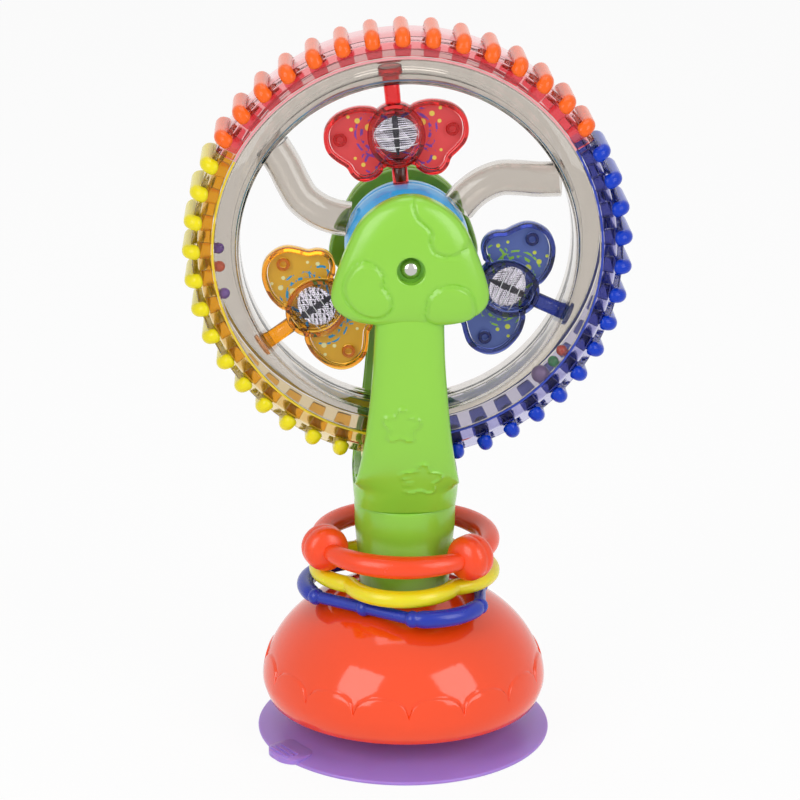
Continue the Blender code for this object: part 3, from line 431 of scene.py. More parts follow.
def depth_inside(points, outline):
    """How far points lie inside a closed outline, below zero outside it."""
    start = np.array(outline)
    edge = np.roll(start, -1, axis=0) - start
    away = points[:, None, :] - start[None]
    along = np.clip((away * edge).sum(2) / (edge ** 2).sum(1), 0, 1)
    near = np.sqrt(((away - along[..., None] * edge) ** 2).sum(2).min(1))
    above_start = away[..., 1] >= 0
    above_end = points[:, None, 1] >= np.roll(start, -1, axis=0)[None, :, 1]
    turn = edge[None, :, 0] * away[..., 1] - edge[None, :, 1] * away[..., 0]
    crossing = (above_start & ~above_end & (turn < 0)) | (~above_start & above_end & (turn > 0))
    return np.where(crossing.sum(1) % 2 == 1, near, -near)


def cap_relief(points):
    """Height of the raised patches: a soft step up, with a shallow groove round its foot."""
    height = np.zeros(len(points))
    for patch in patches:
        inside = depth_inside(points, through(patch, 4, closed=True))
        step = np.clip((inside + 0.2) / 1.2, 0, 1)
        height += 0.75 * step * step * (3 - 2 * step) - 0.55 * np.exp(-((inside + 0.5) / 0.5) ** 2)
    return height


def arm_relief(points):
    """Height of the two flowers: a low pad inside a rounded line."""
    height = np.zeros(len(points))
    for x, z, radius in flowers:
        away = points - np.array((x, z))
        angle = np.arctan2(away[:, 1], away[:, 0])
        petal = radius * (0.84 + 0.16 * np.cos(5 * angle - math.pi / 2 + 0.3))
        inside = petal - np.hypot(away[:, 0], away[:, 1])
        step = np.clip((inside + 0.2) / 1.0, 0, 1)
        height += 0.25 * step * step * (3 - 2 * step) + 0.75 * np.exp(-((inside - 0.3) / 0.6) ** 2)
    return height


def cap_outline(top, parts):
    """The outline of a cap whose crown stands at the given height over the axle."""
    right = [(x, z * top / front_cap_top if z > 0 else z) for x, z in cap_half]
    return np.array(through(right + [(-x, z) for x, z in right[-2:0:-1]], parts, closed=True))


def arm_and_cap(side, top):
    """One arm shell and its cap as a closed skin, with the recess for the axle end."""
    front = side == "front"
    shape = bmesh.new()
    rows = through(arm_stations, 12)
    rings = []
    for near_y, near_z, far_y, far_z, half in rows:
        ring = []
        for k in range(73):
            angle = math.pi * k / 72
            wide = math.copysign(abs(math.cos(angle)) ** 0.8, math.cos(angle))
            out = math.sin(angle) ** 0.62
            ring.append((half * wide, -(near_y + (far_y - near_y) * out), near_z + (far_z - near_z) * out))
        rings.append(ring)
    grid = np.array(rings)
    if front:
        flat = grid.reshape(-1, 3)
        lift = arm_relief(np.stack([flat[:, 0], flat[:, 2] - axle_height], axis=1))
        facing = np.clip((-flat[:, 1] - 15) / 5, 0, 1)
        flat[:, 1] -= lift * facing
        grid = flat.reshape(grid.shape)
    outline = cap_outline(top, 8)
    around = len(outline)
    bearing = np.arctan2(outline[:, 0], outline[:, 1])
    circle = np.stack([np.sin(bearing), np.cos(bearing)], 1)
    cap = []
    for share, depth in ((0.93, 29.4), (0.955, 29.45), (0.985, 29.8), (1.0, 30.8), (1.0, 32.0)):
        cap.append(np.column_stack([outline[:, 0] * share, np.full(around, -depth), outline[:, 1] * share]))
    for k in range(1, 61):
        angle = math.pi / 2 * k / 61
        share = math.cos(angle) ** 0.72
        depth = 32.0 + 7.6 * math.sin(angle) ** 0.72
        if share < 0.32:
            break
        mix = min(1.0, max(0.0, (share - 0.3) / 0.3))
        ring = outline * share * mix + circle * (1 - mix) * (6.0 + (share - 0.3) * 18)
        cap.append(np.column_stack([ring[:, 0], np.full(around, -depth), ring[:, 1]]))
    body_rings = len(cap)
    edge_depth = -cap[-1][0, 1]
    recess = [
        (5.7, edge_depth + 0.05), (5.2, edge_depth), (4.92, edge_depth - 0.25),
        (recess_radius, edge_depth - 0.7), (recess_radius, recess_depth), (3.9, recess_depth),
        (2.7, recess_depth),
    ]
    for radius, depth in recess:
        cap.append(np.column_stack([circle[:, 0] * radius, np.full(around, -depth), circle[:, 1] * radius]))
    cap = np.array(cap)
    if front:
        flat = cap[5:body_rings].reshape(-1, 3)
        flat[:, 1] -= cap_relief(np.stack([flat[:, 0], flat[:, 2]], axis=1))
        cap[5:body_rings] = flat.reshape(cap[5:body_rings].shape)
    cap[:, :, 2] += axle_height
    turn = Matrix.Identity(4) if front else Matrix.Rotation(math.pi, 4, "Z")
    skin_rings(shape, [[turn @ Vector(p) * mm for p in ring] for ring in grid.tolist()])
    skin_rings(shape, [[turn @ Vector(p) * mm for p in ring] for ring in cap.tolist()])
    return shape


# The rear arm is the same green plastic as the front arm and neck; its slightly darker, yellower copy of that
# green is painted shade, for where it sits behind the wheel.
rear_green_painted_shade_abs = moulded_abs("rear_green_painted_shade_abs", "93CE22", 0.22, 0.03)
shape = arm_and_cap("front", front_cap_top)
moulding("front_arm_skin", shape, green_abs, "stand", "body_green", "front_arm")
shape = arm_and_cap("rear", rear_cap_top)
moulding("rear_arm_skin", shape, rear_green_painted_shade_abs, "stand", "body_green", "rear_arm")


# Inner halves of the fork
# Each arm is closed on the wheel's side by a flat ABS liner, with a round boss that the axle runs
# through. The liners go in from this side, so the outside stays plain.
liner_thickness = 2.2


def arm_liner(side, top):
    """One liner as closed skins: the plate in the arm, the plate in the cap, and the boss."""
    shape = bmesh.new()
    rows = through([(row[0], row[1], row[4]) for row in arm_stations[2:]], 8)
    rings = []
    for i, (y, z, half) in enumerate(rows):
        a, b = rows[max(i - 1, 0)], rows[min(i + 1, len(rows) - 1)]
        normal = Vector((-(b[1] - a[1]), b[0] - a[0])).normalized()
        lift = 1.3 if i < 10 else 0.35
        wide = half * 0.97
        thick = lift + liner_thickness
        section = softened([(wide, lift), (wide, thick), (-wide, thick), (-wide, lift)], 0.6, 3)
        rings.append([Vector((p.x, -max(y + normal.x * p.y, 0.2), z + normal.y * p.y)) for p in section])
    outline = cap_outline(top, 6)
    disc_edge = [(0.9, 28.95), (0.965, 28.95), (0.98, 28.6), (0.98, 27.4), (0.96, 26.85), (0.9, 26.7)]
    disc = []
    for share, depth in disc_edge:
        disc.append([Vector((x * share, -depth, z * share + axle_height)) for x, z in outline])
    turn = Matrix.Identity(4) if side == "front" else Matrix.Rotation(math.pi, 4, "Z")
    skin_rings(shape, [[turn @ p * mm for p in ring] for ring in rings])
    skin_rings(shape, [[turn @ p * mm for p in ring] for ring in disc])
    boss_lines = [(2.8, 17.3), (5.3, 17.3), (5.68, 17.6), (5.68, 25.8), (7.2, 26.9), (2.8, 26.9)]
    boss_lines = softened(boss_lines, 0.4, 3)
    stand_up = turn @ Matrix.Translation(wheel_centre) @ Matrix.Rotation(math.pi / 2, 4, "X")
    boss = spun([p * mm for p in boss_lines], 48)
    boss.transform(stand_up)
    boss_mesh = bpy.data.meshes.new("boss")
    boss.to_mesh(boss_mesh)
    boss.free()
    shape.from_mesh(boss_mesh)
    bpy.data.meshes.remove(boss_mesh)
    return shape


liner_abs = moulded_abs("liner_green_abs", "7DBD30", 0.24)
shape = arm_liner("front", front_cap_top)
moulding("front_liner_skin", shape, liner_abs, "stand", "liner_green", "front_liner")
shape = arm_liner("rear", rear_cap_top)
moulding("rear_liner_skin", shape, liner_abs, "stand", "liner_green", "rear_liner")

# Axle
# A turned steel pin with a domed end that shows in the recess of each cap, on nylon washers.
# Polished steel: it mirrors the studio, with faint turning marks in the gloss.
bright_steel, tree = new_material("polished_steel")
place = add_node(tree, "ShaderNodeTexCoord", {})
turning = add_node(tree, "ShaderNodeTexNoise", {
    "Vector": (place, "Object"), "Scale": 1 / (0.6 * mm), "Detail": 2.0,
})
rough = add_node(tree, "ShaderNodeMapRange", {0: (turning, "Fac"), 3: 0.08, 4: 0.2})
skin = add_node(tree, "ShaderNodeBsdfPrincipled", {
    "Base Color": linear("C9C7C2"), "Metallic": 1.0, "Roughness": (rough, "Result"),
})
add_node(tree, "ShaderNodeOutputMaterial", {"Surface": (skin, "BSDF")})
axle_half = [(0, 38.0), (1.2, 37.9), (2.3, 37.45), (3.1, 36.7), (3.55, 35.7), (3.6, 35.2), (2.5, 35.2)]
axle = spun([Vector(p) * mm for p in axle_half + [(r, -z) for r, z in axle_half[::-1]]], 64)
stand_up = Matrix.Translation(wheel_centre) @ Matrix.Rotation(math.pi / 2, 4, "X")
axle.transform(stand_up)
moulding("axle_pin", axle, bright_steel, "stand", "steel", "axle")

# Moulded nylon: an off-white, half matt, with a slightly uneven sheen.
nylon, tree = new_material("white_nylon")
place = add_node(tree, "ShaderNodeTexCoord", {})
cloud = add_node(tree, "ShaderNodeTexNoise", {"Vector": (place, "Object"), "Scale": 1 / (3 * mm)})
rough = add_node(tree, "ShaderNodeMapRange", {0: (cloud, "Fac"), 3: 0.45, 4: 0.55})
skin = add_node(tree, "ShaderNodeBsdfPrincipled", {
    "Base Color": linear("EDE8DE"), "Roughness": (rough, "Result"),
})
add_node(tree, "ShaderNodeOutputMaterial", {"Surface": (skin, "BSDF")})
for node in ("front_washer", "rear_washer", "hub_bush"):
    finish_solid(node, nylon)

# Hub
# A barrel-shaped hub in sky blue ABS, moulded in two halves that meet at its crest.
wheel_turn = math.radians(5.8)
rest_turn = Matrix.Rotation(-wheel_turn, 4, "Y")
wheel_frame = Matrix.Translation(wheel_centre) @ rest_turn @ Matrix.Rotation(math.pi / 2, 4, "X")
first_post = math.pi / 2
third = math.radians(120)
sky_abs = moulded_abs("sky_blue_abs", "3CB4F8", 0.18)
hub_lines = [
    (22.3, 0.15), (22.2, 3.5), (21.5, 7.6), (19.9, 11.6), (17.6, 15.1), (17.0, 15.5), (4.5, 15.5),
    (4.5, 0.15), (20, 0.15),
]
for side, sign in (("front", 1), ("rear", -1)):
    hub = spun([Vector((r, z * sign)) * mm for r, z in softened(hub_lines, 1.0, 4)], 96)
    hub.transform(wheel_frame)
    moulding("hub_%s_skin" % side, hub, sky_abs, "wheel", "hub_blue", "hub_" + side)


# Spokes
# Three bowed tubes of clear polystyrene from the hub to the rim, with a smoky grey cast where
# the wall is seen edge on.
def clear_polystyrene(name, code, rough=0.04, index=1.42):
    """Clear polystyrene: hard and glassy, with a faint ripple from the tool."""
    material, tree = new_material(name)
    place = add_node(tree, "ShaderNodeTexCoord", {})
    ripple = add_node(tree, "ShaderNodeTexNoise", {
        "Vector": (place, "Object"), "Scale": 1 / (7 * mm), "Detail": 1.0,
    })
    bump = add_node(tree, "ShaderNodeBump", {
        "Height": (ripple, "Fac"), "Strength": 0.05, "Distance": 0.4 * mm,
    })
    skin = add_node(tree, "ShaderNodeBsdfPrincipled", {
        "Base Color": linear(code), "Roughness": rough, "IOR": index, "Transmission Weight": 1.0,
        "Normal": (bump, "Normal"),
    })
    add_node(tree, "ShaderNodeOutputMaterial", {"Surface": (skin, "BSDF")})
    return material


def tube(path, radii, sides=32, closed=False, wall=0.0, shape=None):
    """A round tube along a path in its own plane; with a wall it is hollow and open at its ends."""
    count = len(path)
    rings = []
    inner = []
    for i in range(count):
        a = path[i - 1] if closed or i else path[0]
        b = path[(i + 1) % count] if closed or i < count - 1 else path[-1]
        along = (Vector(b) - Vector(a)).normalized()
        side = along.cross(Vector((0, 0, 1))).normalized()
        lift = side.cross(along)
        here = Vector(path[i])
        radius = radii[i] if isinstance(radii, list) else radii
        spots = [math.tau * k / sides for k in range(sides)]
        rings.append([here + (side * math.cos(a) + lift * math.sin(a)) * radius for a in spots])
        inner.append([here + (side * math.cos(a) + lift * math.sin(a)) * (radius - wall) for a in spots])
    shape = shape or bmesh.new()
    if wall:
        return skin_rings(shape, rings + inner[::-1], around=True)
    return skin_rings(shape, rings, around=closed)


smoky_clear = clear_polystyrene("clear_polystyrene", "DDD8D2")
spoke_radius, spoke_wall = 6.3 * mm, 1.3 * mm
route = [(22.6, 31.0), (28.0, 33.2), (34.0, 33.0), (40.5, 30.2), (46.0, 25.5), (52.5, 20.6), (59.2, 17.6)]
for k in range(3):
    turned = [(r, math.radians(a) + third * k) for r, a in route]
    points = [(r * math.cos(a), r * math.sin(a), 0) for r, a in turned]
    spoke = tube([Vector(p) * mm for p in through(points, 8)], spoke_radius, 40, wall=spoke_wall)
    spoke.transform(wheel_frame)
    moulding("spoke_%d_tube" % (k + 1), spoke, smoky_clear, "wheel", "clear_ps", "spoke_%d" % (k + 1))

# Rim shells
# Two clear polystyrene shells that meet at the middle of the rim make the hollow channel for the
# beads. The inner wall takes the ends of the spinner posts.
shell_lines = [
    (59.5, 0.15), (59.5, 11.6), (60.3, 13.3), (62.0, 14.0), (68.3, 12.4), (68.3, 11.0), (62.2, 12.5),
    (60.9, 11.4), (60.9, 0.15),
]
for side, sign in (("front", 1), ("rear", -1)):
    shell = spun([Vector((r, z * sign)) * mm for r, z in softened(shell_lines, 0.7, 4)], 192)
    shell.transform(wheel_frame)
    moulding("rim_shell_%s_skin" % side, shell, smoky_clear, "wheel", "clear_ps", "rim_shell_" + side)

# Rim sections
# The outer channel is clear plastic with a cast of its section's colour. Fifteen coloured bumps
# are moulded over each third, each with a foot behind the clear lip, and a coloured line edges it.
sections = {
    "orange": ("FF6A1E", "F9C4C6", "F08A94", "F0A0A6"),
    "yellow": ("F2E21A", "F2E0B8", "F2C24A", "F0CF20"),
    "blue": ("0A3CC4", "CFCDE6", "5B62A8", "1F3AB0"),
}
bumps_per_section = 15
pitch_angle = third / bumps_per_section
bump_radius = 2.65
section_gap_angle = 0.15 / 76
channel_lines = [
    (69.4, 12.3), (73.2, 13.2), (75.2, 12.9), (76.3, 11.4), (76.3, -11.4), (75.2, -12.9), (73.2, -13.2),
    (69.4, -12.3), (69.4, -10.6), (72.6, -11.2), (74.2, -9.6), (74.2, 9.6), (72.6, 11.2), (69.4, 10.6),
]
bump_arch = [(73.4, 12.6), (74.6, 13.0), (75.9, 12.6), (76.8, 11.4), (77.0, 9.5), (77.0, 5.0), (77.0, 0.0)]
bump_arch += [(r, -z) for r, z in bump_arch[-2::-1]]
foot_lines = [(69.6, -2.6), (73.4, -3.0), (73.4, 3.0), (69.6, 2.6)]
edge_lines = [(68.45, 11.4), (69.2, 11.6), (69.2, 12.5), (68.45, 12.4)]
for k, (colour, (bump_code, clear_code, foot_code, line_code)) in enumerate(sections.items()):
    start = first_post + third * k - pitch_angle / 2 - third / 2
    clear = clear_polystyrene(colour + "_cast_polystyrene", clear_code, 0.06, 1.18)
    span = (60, start + section_gap_angle, third - 2 * section_gap_angle)
    channel = spun([p * mm for p in softened(channel_lines, 0.8, 3)], *span)
    channel.transform(wheel_frame)
    moulding("rim_channel_" + colour, channel, clear, "wheel", "bumps_" + colour, "rim_section_" + colour)
    glossy = moulded_abs(colour + "_bump_plastic", bump_code, 0.14, 0.03, 0.22)
    bumps = bmesh.new()
    feet = bmesh.new()
    for i in range(bumps_per_section):
        angle = start + pitch_angle * (i + 0.5)
        spin = Matrix.Rotation(angle, 4, "Z")
        curve = [Vector((p[0], 0, p[1])) for p in through(bump_arch, 5)]
        count = len(curve)
        rings = []
        for n, here in enumerate(curve):
            along = (curve[min(n + 1, count - 1)] - curve[max(n - 1, 0)]).normalized()
            out = Vector((0, 1, 0)).cross(along).normalized()
            from_end = min(n, count - 1 - n) / 5
            size = bump_radius * math.sqrt(max(0.02, 1 - max(0.0, 1 - from_end) ** 2))
            rings.append([spin @ (here + (Vector((0, 1, 0)) * math.cos(a) + out * math.sin(a)) * size) * mm
                          for a in (math.tau * q / 20 for q in range(20))])
        skin_rings(bumps, rings)
        for sign in (1, -1):
            foot = softened(foot_lines, 0.4, 2)
            skin_rings(feet, [[spin @ Vector((p.x, p.y, z * sign)) * mm for p in foot] for z in (9.3, 10.5)])
    bumps.transform(wheel_frame)
    feet.transform(wheel_frame)
    moulding("bumps_%s_row" % colour, bumps, glossy, "wheel", "bumps_" + colour)
    foot_plastic = clear_polystyrene(colour + "_foot_plastic", foot_code, 0.15)
    moulding("bump_feet_" + colour, feet, foot_plastic, "wheel", "bumps_" + colour)
    edge_plastic = moulded_abs(colour + "_edge_plastic", line_code, 0.15, 0.02)
    edge_line = spun([p * mm for p in softened(edge_lines, 0.2, 2)], *span)
    spun([p * mm for p in softened([(r, -z) for r, z in edge_lines], 0.2, 2)], *span, edge_line)
    edge_line.transform(wheel_frame)
    moulding("edge_line_" + colour, edge_line, edge_plastic, "wheel", "bumps_" + colour)

# Beads
# Loose polystyrene balls that rattle round in the rim.
beads = {
    "bead_purple": "7E3FC4", "bead_orange": "FF6420", "bead_violet": "9260DA",
    "bead_red": "F04A40", "bead_green": "1EA064", "bead_lilac": "9A7CC8",
}
for node, code in beads.items():
    low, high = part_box(node)
    ball = bmesh.new()
    bmesh.ops.create_icosphere(ball, subdivisions=4, radius=(high.z - low.z) / 2)
    ball.transform(Matrix.Translation((low + high) / 2))
    plastic = moulded_abs(node + "_polystyrene", code, 0.1, 0.01)
    moulding(node + "_ball", ball, plastic, "wheel", "bead_plastic", node)


# Spinners
# Each butterfly is two clear coloured wing shells over a printed card, round a clear capsule with
# a card strip inside, on a post that turns in the hub and the rim. The print is a made-up one.
wing_half = [
    (4.6, 9.4), (6.9, 10.3), (8.9, 10.9), (12.8, 11.3), (17, 10.6), (20.9, 9.0), (23.9, 6.3), (25.4, 3.0),
    (25.5, -1.1), (24.2, -4.6), (21.4, -7.5), (18.6, -9.8), (17.3, -12.4), (15.1, -14.6), (12, -15.4),
    (8.8, -14.6), (6.2, -12.6), (4.6, -10.9),
]
dots_on_card = [
    (9.5, 3.6, 1.25), (13.2, 6.3, 0.95), (16.3, 8.0, 0.6), (15.6, 3.4, 0.7), (12.6, -9.6, 0.75),
    (15.2, -7.0, 0.55),
]
curls_on_card = [(6.0, 1.0, 6.2, 0.5), (6.0, 1.0, 8.4, 0.35), (9.0, -8.6, 2.6, 0.45), (9.0, -8.6, 4.2, 0.3)]


def printed_card(name, ground, dots, curls):
    """Coated card printed in three flat inks: dots and curls drawn in the card's own millimetres."""
    material, tree = new_material(name)
    place = add_node(tree, "ShaderNodeUVMap", {}, uv_map="card")
    away = add_node(tree, "ShaderNodeVectorMath", {0: (place, "UV")}, operation="ABSOLUTE")
    split = add_node(tree, "ShaderNodeSeparateXYZ", {0: (place, "UV")})
    side = add_node(tree, "ShaderNodeSeparateXYZ", {0: (away, "Vector")})
    spot = add_node(tree, "ShaderNodeCombineXYZ", {"X": (side, "X"), "Y": (split, "Y")})
    dotted = None
    for u, v, radius in dots_on_card:
        far = add_node(tree, "ShaderNodeVectorMath", {
            0: (spot, "Vector"), 1: (u, v, 0),
        }, operation="DISTANCE")
        inside = add_node(tree, "ShaderNodeMath", {0: (far, "Value"), 1: radius}, operation="LESS_THAN")
        if dotted:
            inside = add_node(tree, "ShaderNodeMath", {
                0: (dotted, "Value"), 1: (inside, "Value"),
            }, operation="MAXIMUM")
        dotted = inside
    curled = None
    for u, v, radius, width in curls_on_card:
        far = add_node(tree, "ShaderNodeVectorMath", {
            0: (spot, "Vector"), 1: (u, v, 0),
        }, operation="DISTANCE")
        near = add_node(tree, "ShaderNodeMath", {
            0: (far, "Value"), 1: radius, 2: width,
        }, operation="COMPARE")
        if curled:
            near = add_node(tree, "ShaderNodeMath", {
                0: (curled, "Value"), 1: (near, "Value"),
            }, operation="MAXIMUM")
        curled = near
    wave = add_node(tree, "ShaderNodeTexNoise", {"Vector": (place, "UV"), "Scale": 0.35})
    part = add_node(tree, "ShaderNodeMath", {0: (wave, "Fac"), 1: 0.5}, operation="GREATER_THAN")
    curled = add_node(tree, "ShaderNodeMath", {
        0: (curled, "Value"), 1: (part, "Value"),
    }, operation="MULTIPLY")
    base = add_node(tree, "ShaderNodeMix", {
        0: (curled, "Value"), 6: linear(ground), 7: linear(curls),
    }, data_type="RGBA")
    inked = add_node(tree, "ShaderNodeMix", {
        0: (dotted, "Value"), 6: (base, 2), 7: linear(dots),
    }, data_type="RGBA")
    skin = add_node(tree, "ShaderNodeBsdfPrincipled", {"Base Color": (inked, 2), "Roughness": 0.35})
    add_node(tree, "ShaderNodeOutputMaterial", {"Surface": (skin, "BSDF")})
    return material


def wing_line(inset=0.0):
    """The butterfly's outline in millimetres, drawn in by an even margin."""
    line = np.array(through(wing_half + [(-x, y) for x, y in wing_half[::-1]], 5, closed=True))
    along = np.roll(line, -1, axis=0) - np.roll(line, 1, axis=0)
    inward = np.stack([along[:, 1], -along[:, 0]], 1) / np.linalg.norm(along, axis=1)[:, None]
    return line + inward * inset


def slab_rings(levels):
    """Rings of the butterfly's outline, each at its height and drawn in by its margin."""
    return [[Vector((x, y, z)) for x, y in wing_line(inset)] for z, inset in levels]


def oval_rings(levels, sides=64):
    """Rings of ovals, each with its half width, half height and level."""
    spots = [math.tau * k / sides for k in range(sides)]
    return [[Vector((w * math.cos(a), h * math.sin(a), z)) for a in spots] for w, h, z in levels]


spinners = {
    "red": ("F0686A", "E4464A", "F4D35A", "7A3FA8", "wing_red"),
    "yellow": ("F8C658", "EDB22A", "FAF0B0", "2A9FD8", "wing_amber"),
    "blue": ("6A78B8", "5468B0", "D8E04A", "8FC63A", "wing_navy"),
}
spinner_centre = 39.7 * mm
wing_plate = [
    (0.56, 0.0), (2.2, 0.0), (2.6, 0.25), (2.75, 0.8), (2.6, 1.3), (1.7, 1.5), (1.2, 1.9), (0.56, 1.9),
]
body_frame = [
    (9.0, 10.4, 0.56), (10.2, 11.6, 0.56), (10.2, 11.6, 3.2), (9.9, 11.3, 3.8), (9.3, 10.7, 4.0),
    (8.7, 10.1, 3.8), (8.5, 9.9, 3.2), (8.5, 9.9, 0.56),
]
rivet_out, rivet_up = 19.9, 0.3
rivet = [(2.4, 0.56), (2.4, 1.6), (2.2, 1.8), (1.4, 1.8), (1.2, 1.6), (1.2, 0.56)]
post_lengths = [(-20.5, -11.2, 2.8), (11.2, 21.3, 2.8), (21.3, 23.9, 4.2)]
capsule_width, capsule_height, capsule_dome, capsule_wall, capsule_foot = 8.2, 9.6, 5.84, 0.9, 0.56
rib_heights, rib_radius = (-3.4, 0.0, 3.4), 0.16
window_width, window_height = 7.4, 6.3
stripe_line = [
    (-0.9, 6.4), (0.9, 6.4), (1.15, 4.4), (0.75, 3.8), (1.1, 3.2), (1.1, 0.4), (0.7, 0), (1.1, -0.4),
    (1.0, -3.2), (0.6, -3.7), (0.9, -4.2), (0.3, -7.2), (-0.3, -7.2), (-0.9, -4.2), (-0.6, -3.7),
    (-1.0, -3.2), (-1.1, -0.4), (-0.7, 0), (-1.1, 0.4), (-1.1, 3.2), (-0.75, 3.8), (-1.15, 4.4),
]
crosswise = Vector((0, 1, 0))
for index, (colour, (shell_code, card_code, dot_code, curl_code, slot)) in enumerate(spinners.items()):
    angle = first_post + third * index
    centre = Matrix.Translation((spinner_centre * math.cos(angle), spinner_centre * math.sin(angle), 0))
    spinner_frame = wheel_frame @ centre @ Matrix.Rotation(third * index, 4, "Z") @ Matrix.Scale(mm, 4)
    body = colour + "_spinner"
    tinted = clear_polystyrene(colour + "_tinted_polystyrene", shell_code, 0.05)
    for side, sign in (("front", 1), ("rear", -1)):
        flip = Matrix.Identity(4) if sign > 0 else Matrix.Rotation(math.pi, 4, "Y")
        shape = bmesh.new()
        skin_rings(shape, slab_rings(wing_plate), around=True)
        skin_rings(shape, oval_rings(body_frame), around=True)
        for u in (-rivet_out, rivet_out):
            rings = oval_rings([(r, r, z) for r, z in rivet], 32)
            skin_rings(shape, [[p + Vector((u, rivet_up, 0)) for p in ring] for ring in rings], around=True)
        for low, high, radius in post_lengths:
            spots = [math.pi * k / 16 for k in range(17)]
            profile = [(radius * math.cos(a), max(0.15, radius * math.sin(a))) for a in spots]
            ends = [(low, 0.94), (low + 0.25, 1.0), (high - 0.25, 1.0), (high, 0.94)]
            skin_rings(shape, [[Vector((x * s, v, z * s)) for x, z in profile] for v, s in ends])
        shape.transform(spinner_frame @ flip)
        shell_name = "%s_wing_shell_%s" % (colour, side)
        moulding(shell_name, shape, tinted, body, slot, "%s_wings_%s" % (colour, side))
        lens = []
        for k in range(13):
            lean = math.pi / 2 * k / 12
            rise = capsule_foot + capsule_dome * math.sin(lean)
            lens.append((capsule_width * math.cos(lean), capsule_height * math.cos(lean), rise))
        lens[-1] = (0.05, 0.06, capsule_foot + capsule_dome)
        hollow = []
        for w, h, z in lens[::-1]:
            level = max(capsule_foot, z - capsule_wall)
            hollow.append((max(0.04, w - capsule_wall), max(0.05, h - capsule_wall), level))
        shape = skin_rings(bmesh.new(), oval_rings(lens + hollow), around=False)
        shape.transform(spinner_frame @ flip)
        capsule_plastic = clear_polystyrene("%s_capsule_%s" % (colour, side), "FAF8FC", 0.03, 1.2)
        capsule_name = "%s_capsule_%s" % (colour, side)
        moulding(capsule_name, shape, capsule_plastic, body, "clear_ps", "%s_body_%s" % (colour, side))
        ribs = bmesh.new()
        for v in rib_heights:
            half = capsule_width * math.sqrt(1 - (v / capsule_height) ** 2)
            high = capsule_dome * math.sqrt(1 - (v / capsule_height) ** 2)
            spots = [math.pi * q / 24 for q in range(1, 24)]
            line = [Vector((half * math.cos(a), v, 0.6 + high * math.sin(a))) for a in spots]
            rings = []
            for q, here in enumerate(line):
                along = (line[min(q + 1, 22)] - line[max(q - 1, 0)]).normalized()
                out = crosswise.cross(along)
                ways = [crosswise * math.cos(a) + out * math.sin(a) for a in (math.tau * w / 8 for w in range(8))]
                rings.append([here + way * rib_radius for way in ways])
            skin_rings(ribs, rings)
        ribs.transform(spinner_frame @ flip)
        rib_plastic = moulded_abs("%s_rib_%s" % (colour, side), "F4F2F6", 0.1, 0.01)
        moulding("%s_capsule_ribs_%s" % (colour, side), ribs, rib_plastic, body, "clear_ps")
    card_shape = bmesh.new()
    rim_lines = slab_rings([(-0.25, 2.1), (0.25, 2.1)])
    window = []
    for p in rim_lines[0]:
        window.append(Vector((p.x, p.y)) / math.hypot(p.x / window_width, p.y / window_height))
    rim_lines += [[Vector((p.x, p.y, z)) for p in window] for z in (0.25, -0.25)]
    skin_rings(card_shape, rim_lines, around=True)
    card_layer = card_shape.loops.layers.uv.new("card")
    for face in card_shape.faces:
        for corner in face.loops:
            corner[card_layer].uv = corner.vert.co.xy
    card_shape.transform(spinner_frame)
    print_on_card = printed_card(colour + "_card_print", card_code, dot_code, curl_code)
    moulding(colour + "_printed_card", card_shape, print_on_card, body, "card", colour + "_card")
    stripe = bmesh.new()
    for sign in (1, -1):
        skin_rings(stripe, [[Vector((x, y, z * sign)) for x, y in stripe_line] for z in (0.3, 0.8)])
    stripe.transform(spinner_frame)
    stripe_ink = moulded_abs(colour + "_stripe_ink", "2A2730", 0.4)
    moulding(colour + "_body_stripe", stripe, stripe_ink, body, "card")


# Loose rings
# Three polyethylene rings lie on the base round the neck: an orange one with fat collars, a wavy
# yellow one and a blue one with round balls. The soft plastic has a waxy, slightly deep gloss.
def waxy_polyethylene(name, code):
    """Polyethylene: a waxy gloss, light sinking a millimetre in, and a faint flow ripple."""
    material, tree = new_material(name)
    place = add_node(tree, "ShaderNodeTexCoord", {})
    flow = add_node(tree, "ShaderNodeTexNoise", {
        "Vector": (place, "Object"), "Scale": 1 / (6 * mm), "Detail": 2.0,
    })
    rough = add_node(tree, "ShaderNodeMapRange", {0: (flow, "Fac"), 3: 0.2, 4: 0.3})
    value = add_node(tree, "ShaderNodeMapRange", {0: (flow, "Fac"), 3: 0.97, 4: 1.03})
    tint = add_node(tree, "ShaderNodeHueSaturation", {"Color": linear(code), "Value": (value, "Result")})
    bump = add_node(tree, "ShaderNodeBump", {
        "Height": (flow, "Fac"), "Strength": 0.06, "Distance": 0.3 * mm,
    })
    skin = add_node(tree, "ShaderNodeBsdfPrincipled", {
        "Base Color": (tint, "Color"), "Roughness": (rough, "Result"), "Normal": (bump, "Normal"),
        "IOR": 1.51,
        "Subsurface Weight": 0.12, "Subsurface Scale": 1.5 * mm,
    })
    add_node(tree, "ShaderNodeOutputMaterial", {"Surface": (skin, "BSDF")})
    return material


def ring_level(node):
    low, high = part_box(node)
    return (low.z + high.z) / 2 / mm


def at(radius, angle, height):
    return Vector((radius * math.cos(angle), radius * math.sin(angle), height)) * mm


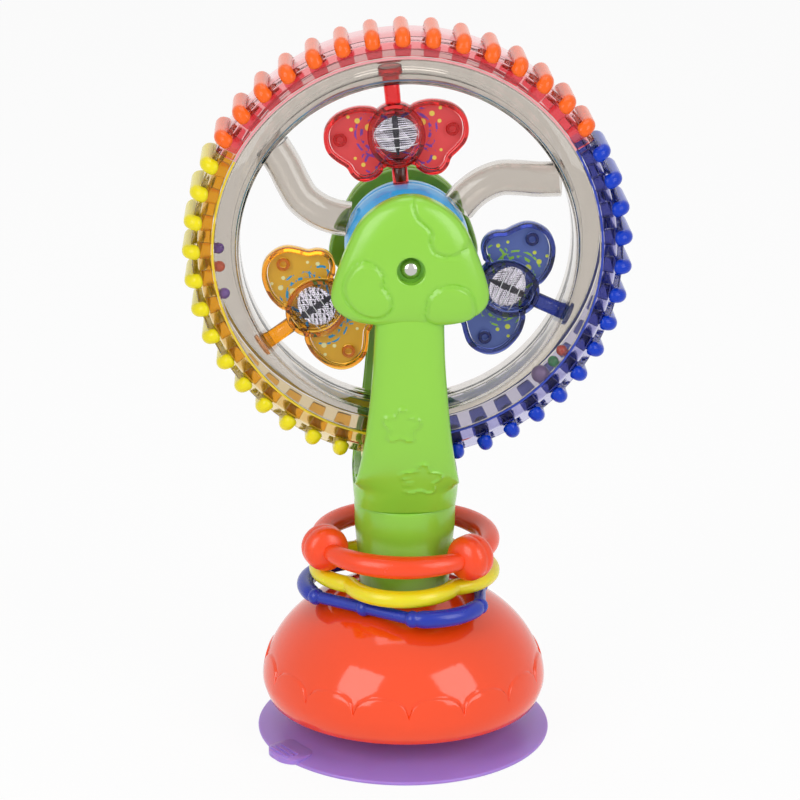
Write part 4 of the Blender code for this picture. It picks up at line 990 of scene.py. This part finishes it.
level = ring_level("ring_orange")
rest = math.radians(-42)
orange_radius, thinnest, swelling, orange_steps = 31, 2.9, 1.25, 144
path = [at(orange_radius, rest + math.tau * k / orange_steps, level) for k in range(orange_steps)]
thick = []
for k in range(orange_steps):
    thick.append((thinnest + swelling * abs(math.sin(1.5 * math.tau * k / orange_steps)) ** 0.8) * mm)
orange_ring = tube(path, thick, 32, closed=True)
collar = [
    (-6.6, 3.0), (-6.0, 5.0), (-4.9, 6.8), (-3.2, 8.0), (-1.3, 8.35), (0, 8.2), (1.3, 8.35), (3.2, 8.0),
    (4.9, 6.8), (6.0, 5.0), (6.6, 3.0),
]
for k in range(3):
    middle = rest + third * k
    outline = through(collar, 4)
    along_ring = Vector((-math.sin(middle), math.cos(middle), 0))
    collar_path = [at(orange_radius, middle, level) + along_ring * p[0] * mm for p in outline]
    tube(collar_path, [p[1] * mm for p in outline], 40, shape=orange_ring)
plastic = waxy_polyethylene("orange_polyethylene", "FF4A14")
moulding("ring_orange_skin", orange_ring, plastic, "loose_ring_orange", "ring_orange", "ring_orange")

level = ring_level("ring_yellow")
rest = math.radians(-95)
yellow_radius, wave_height, yellow_tube, yellow_steps = 29.2, 3.0, 3.1 * mm, 240
path = []
for k in range(yellow_steps):
    angle = math.tau * k / yellow_steps
    wave = 2 * abs(math.cos(angle * 2)) ** 0.8 - 1
    path.append(at(yellow_radius + wave_height * wave, rest + angle, level))
for _ in range(6):
    path = [(path[k - 1] + path[k] * 2 + path[(k + 1) % yellow_steps]) / 4 for k in range(yellow_steps)]
yellow_ring = tube(path, yellow_tube, 32, closed=True)
plastic = waxy_polyethylene("yellow_polyethylene", "F0E416")
moulding("ring_yellow_skin", yellow_ring, plastic, "loose_ring_yellow", "ring_yellow", "ring_yellow")

level = ring_level("ring_blue")
rest = math.radians(-123.6)
half_side = math.radians(36.5)
corner_radius, corner_bulge, ball_radius, side_steps = 34.8, 1.8, 3.1 * mm, 24
path = []
thick = []
spots = []
for k in range(3):
    middle = rest + third * k
    start = at(corner_radius, middle - half_side, level)
    end = at(corner_radius, middle + half_side, level)
    spots += [start, (start + end) / 2, end]
    for q in range(side_steps):
        path.append(start.lerp(end, q / side_steps))
        thick.append(2.2 * mm)
    for q in range(side_steps):
        share = q / side_steps
        bulge = math.sin(math.pi * share)
        turned = middle + half_side + (third - 2 * half_side) * share
        path.append(at(corner_radius + corner_bulge * bulge, turned, level))
        thick.append((2.3 + 0.9 * min(1.0, 3 * bulge)) * mm)
blue_ring = tube(path, thick, 28, closed=True)
for spot in spots:
    ball = bmesh.new()
    bmesh.ops.create_icosphere(ball, subdivisions=3, radius=ball_radius, matrix=Matrix.Translation(spot))
    ball_mesh = bpy.data.meshes.new("ball")
    ball.to_mesh(ball_mesh)
    ball.free()
    blue_ring.from_mesh(ball_mesh)
    bpy.data.meshes.remove(ball_mesh)
plastic = waxy_polyethylene("blue_polyethylene", "1230B0")
moulding("ring_blue_skin", blue_ring, plastic, "loose_ring_blue", "ring_blue", "ring_blue")
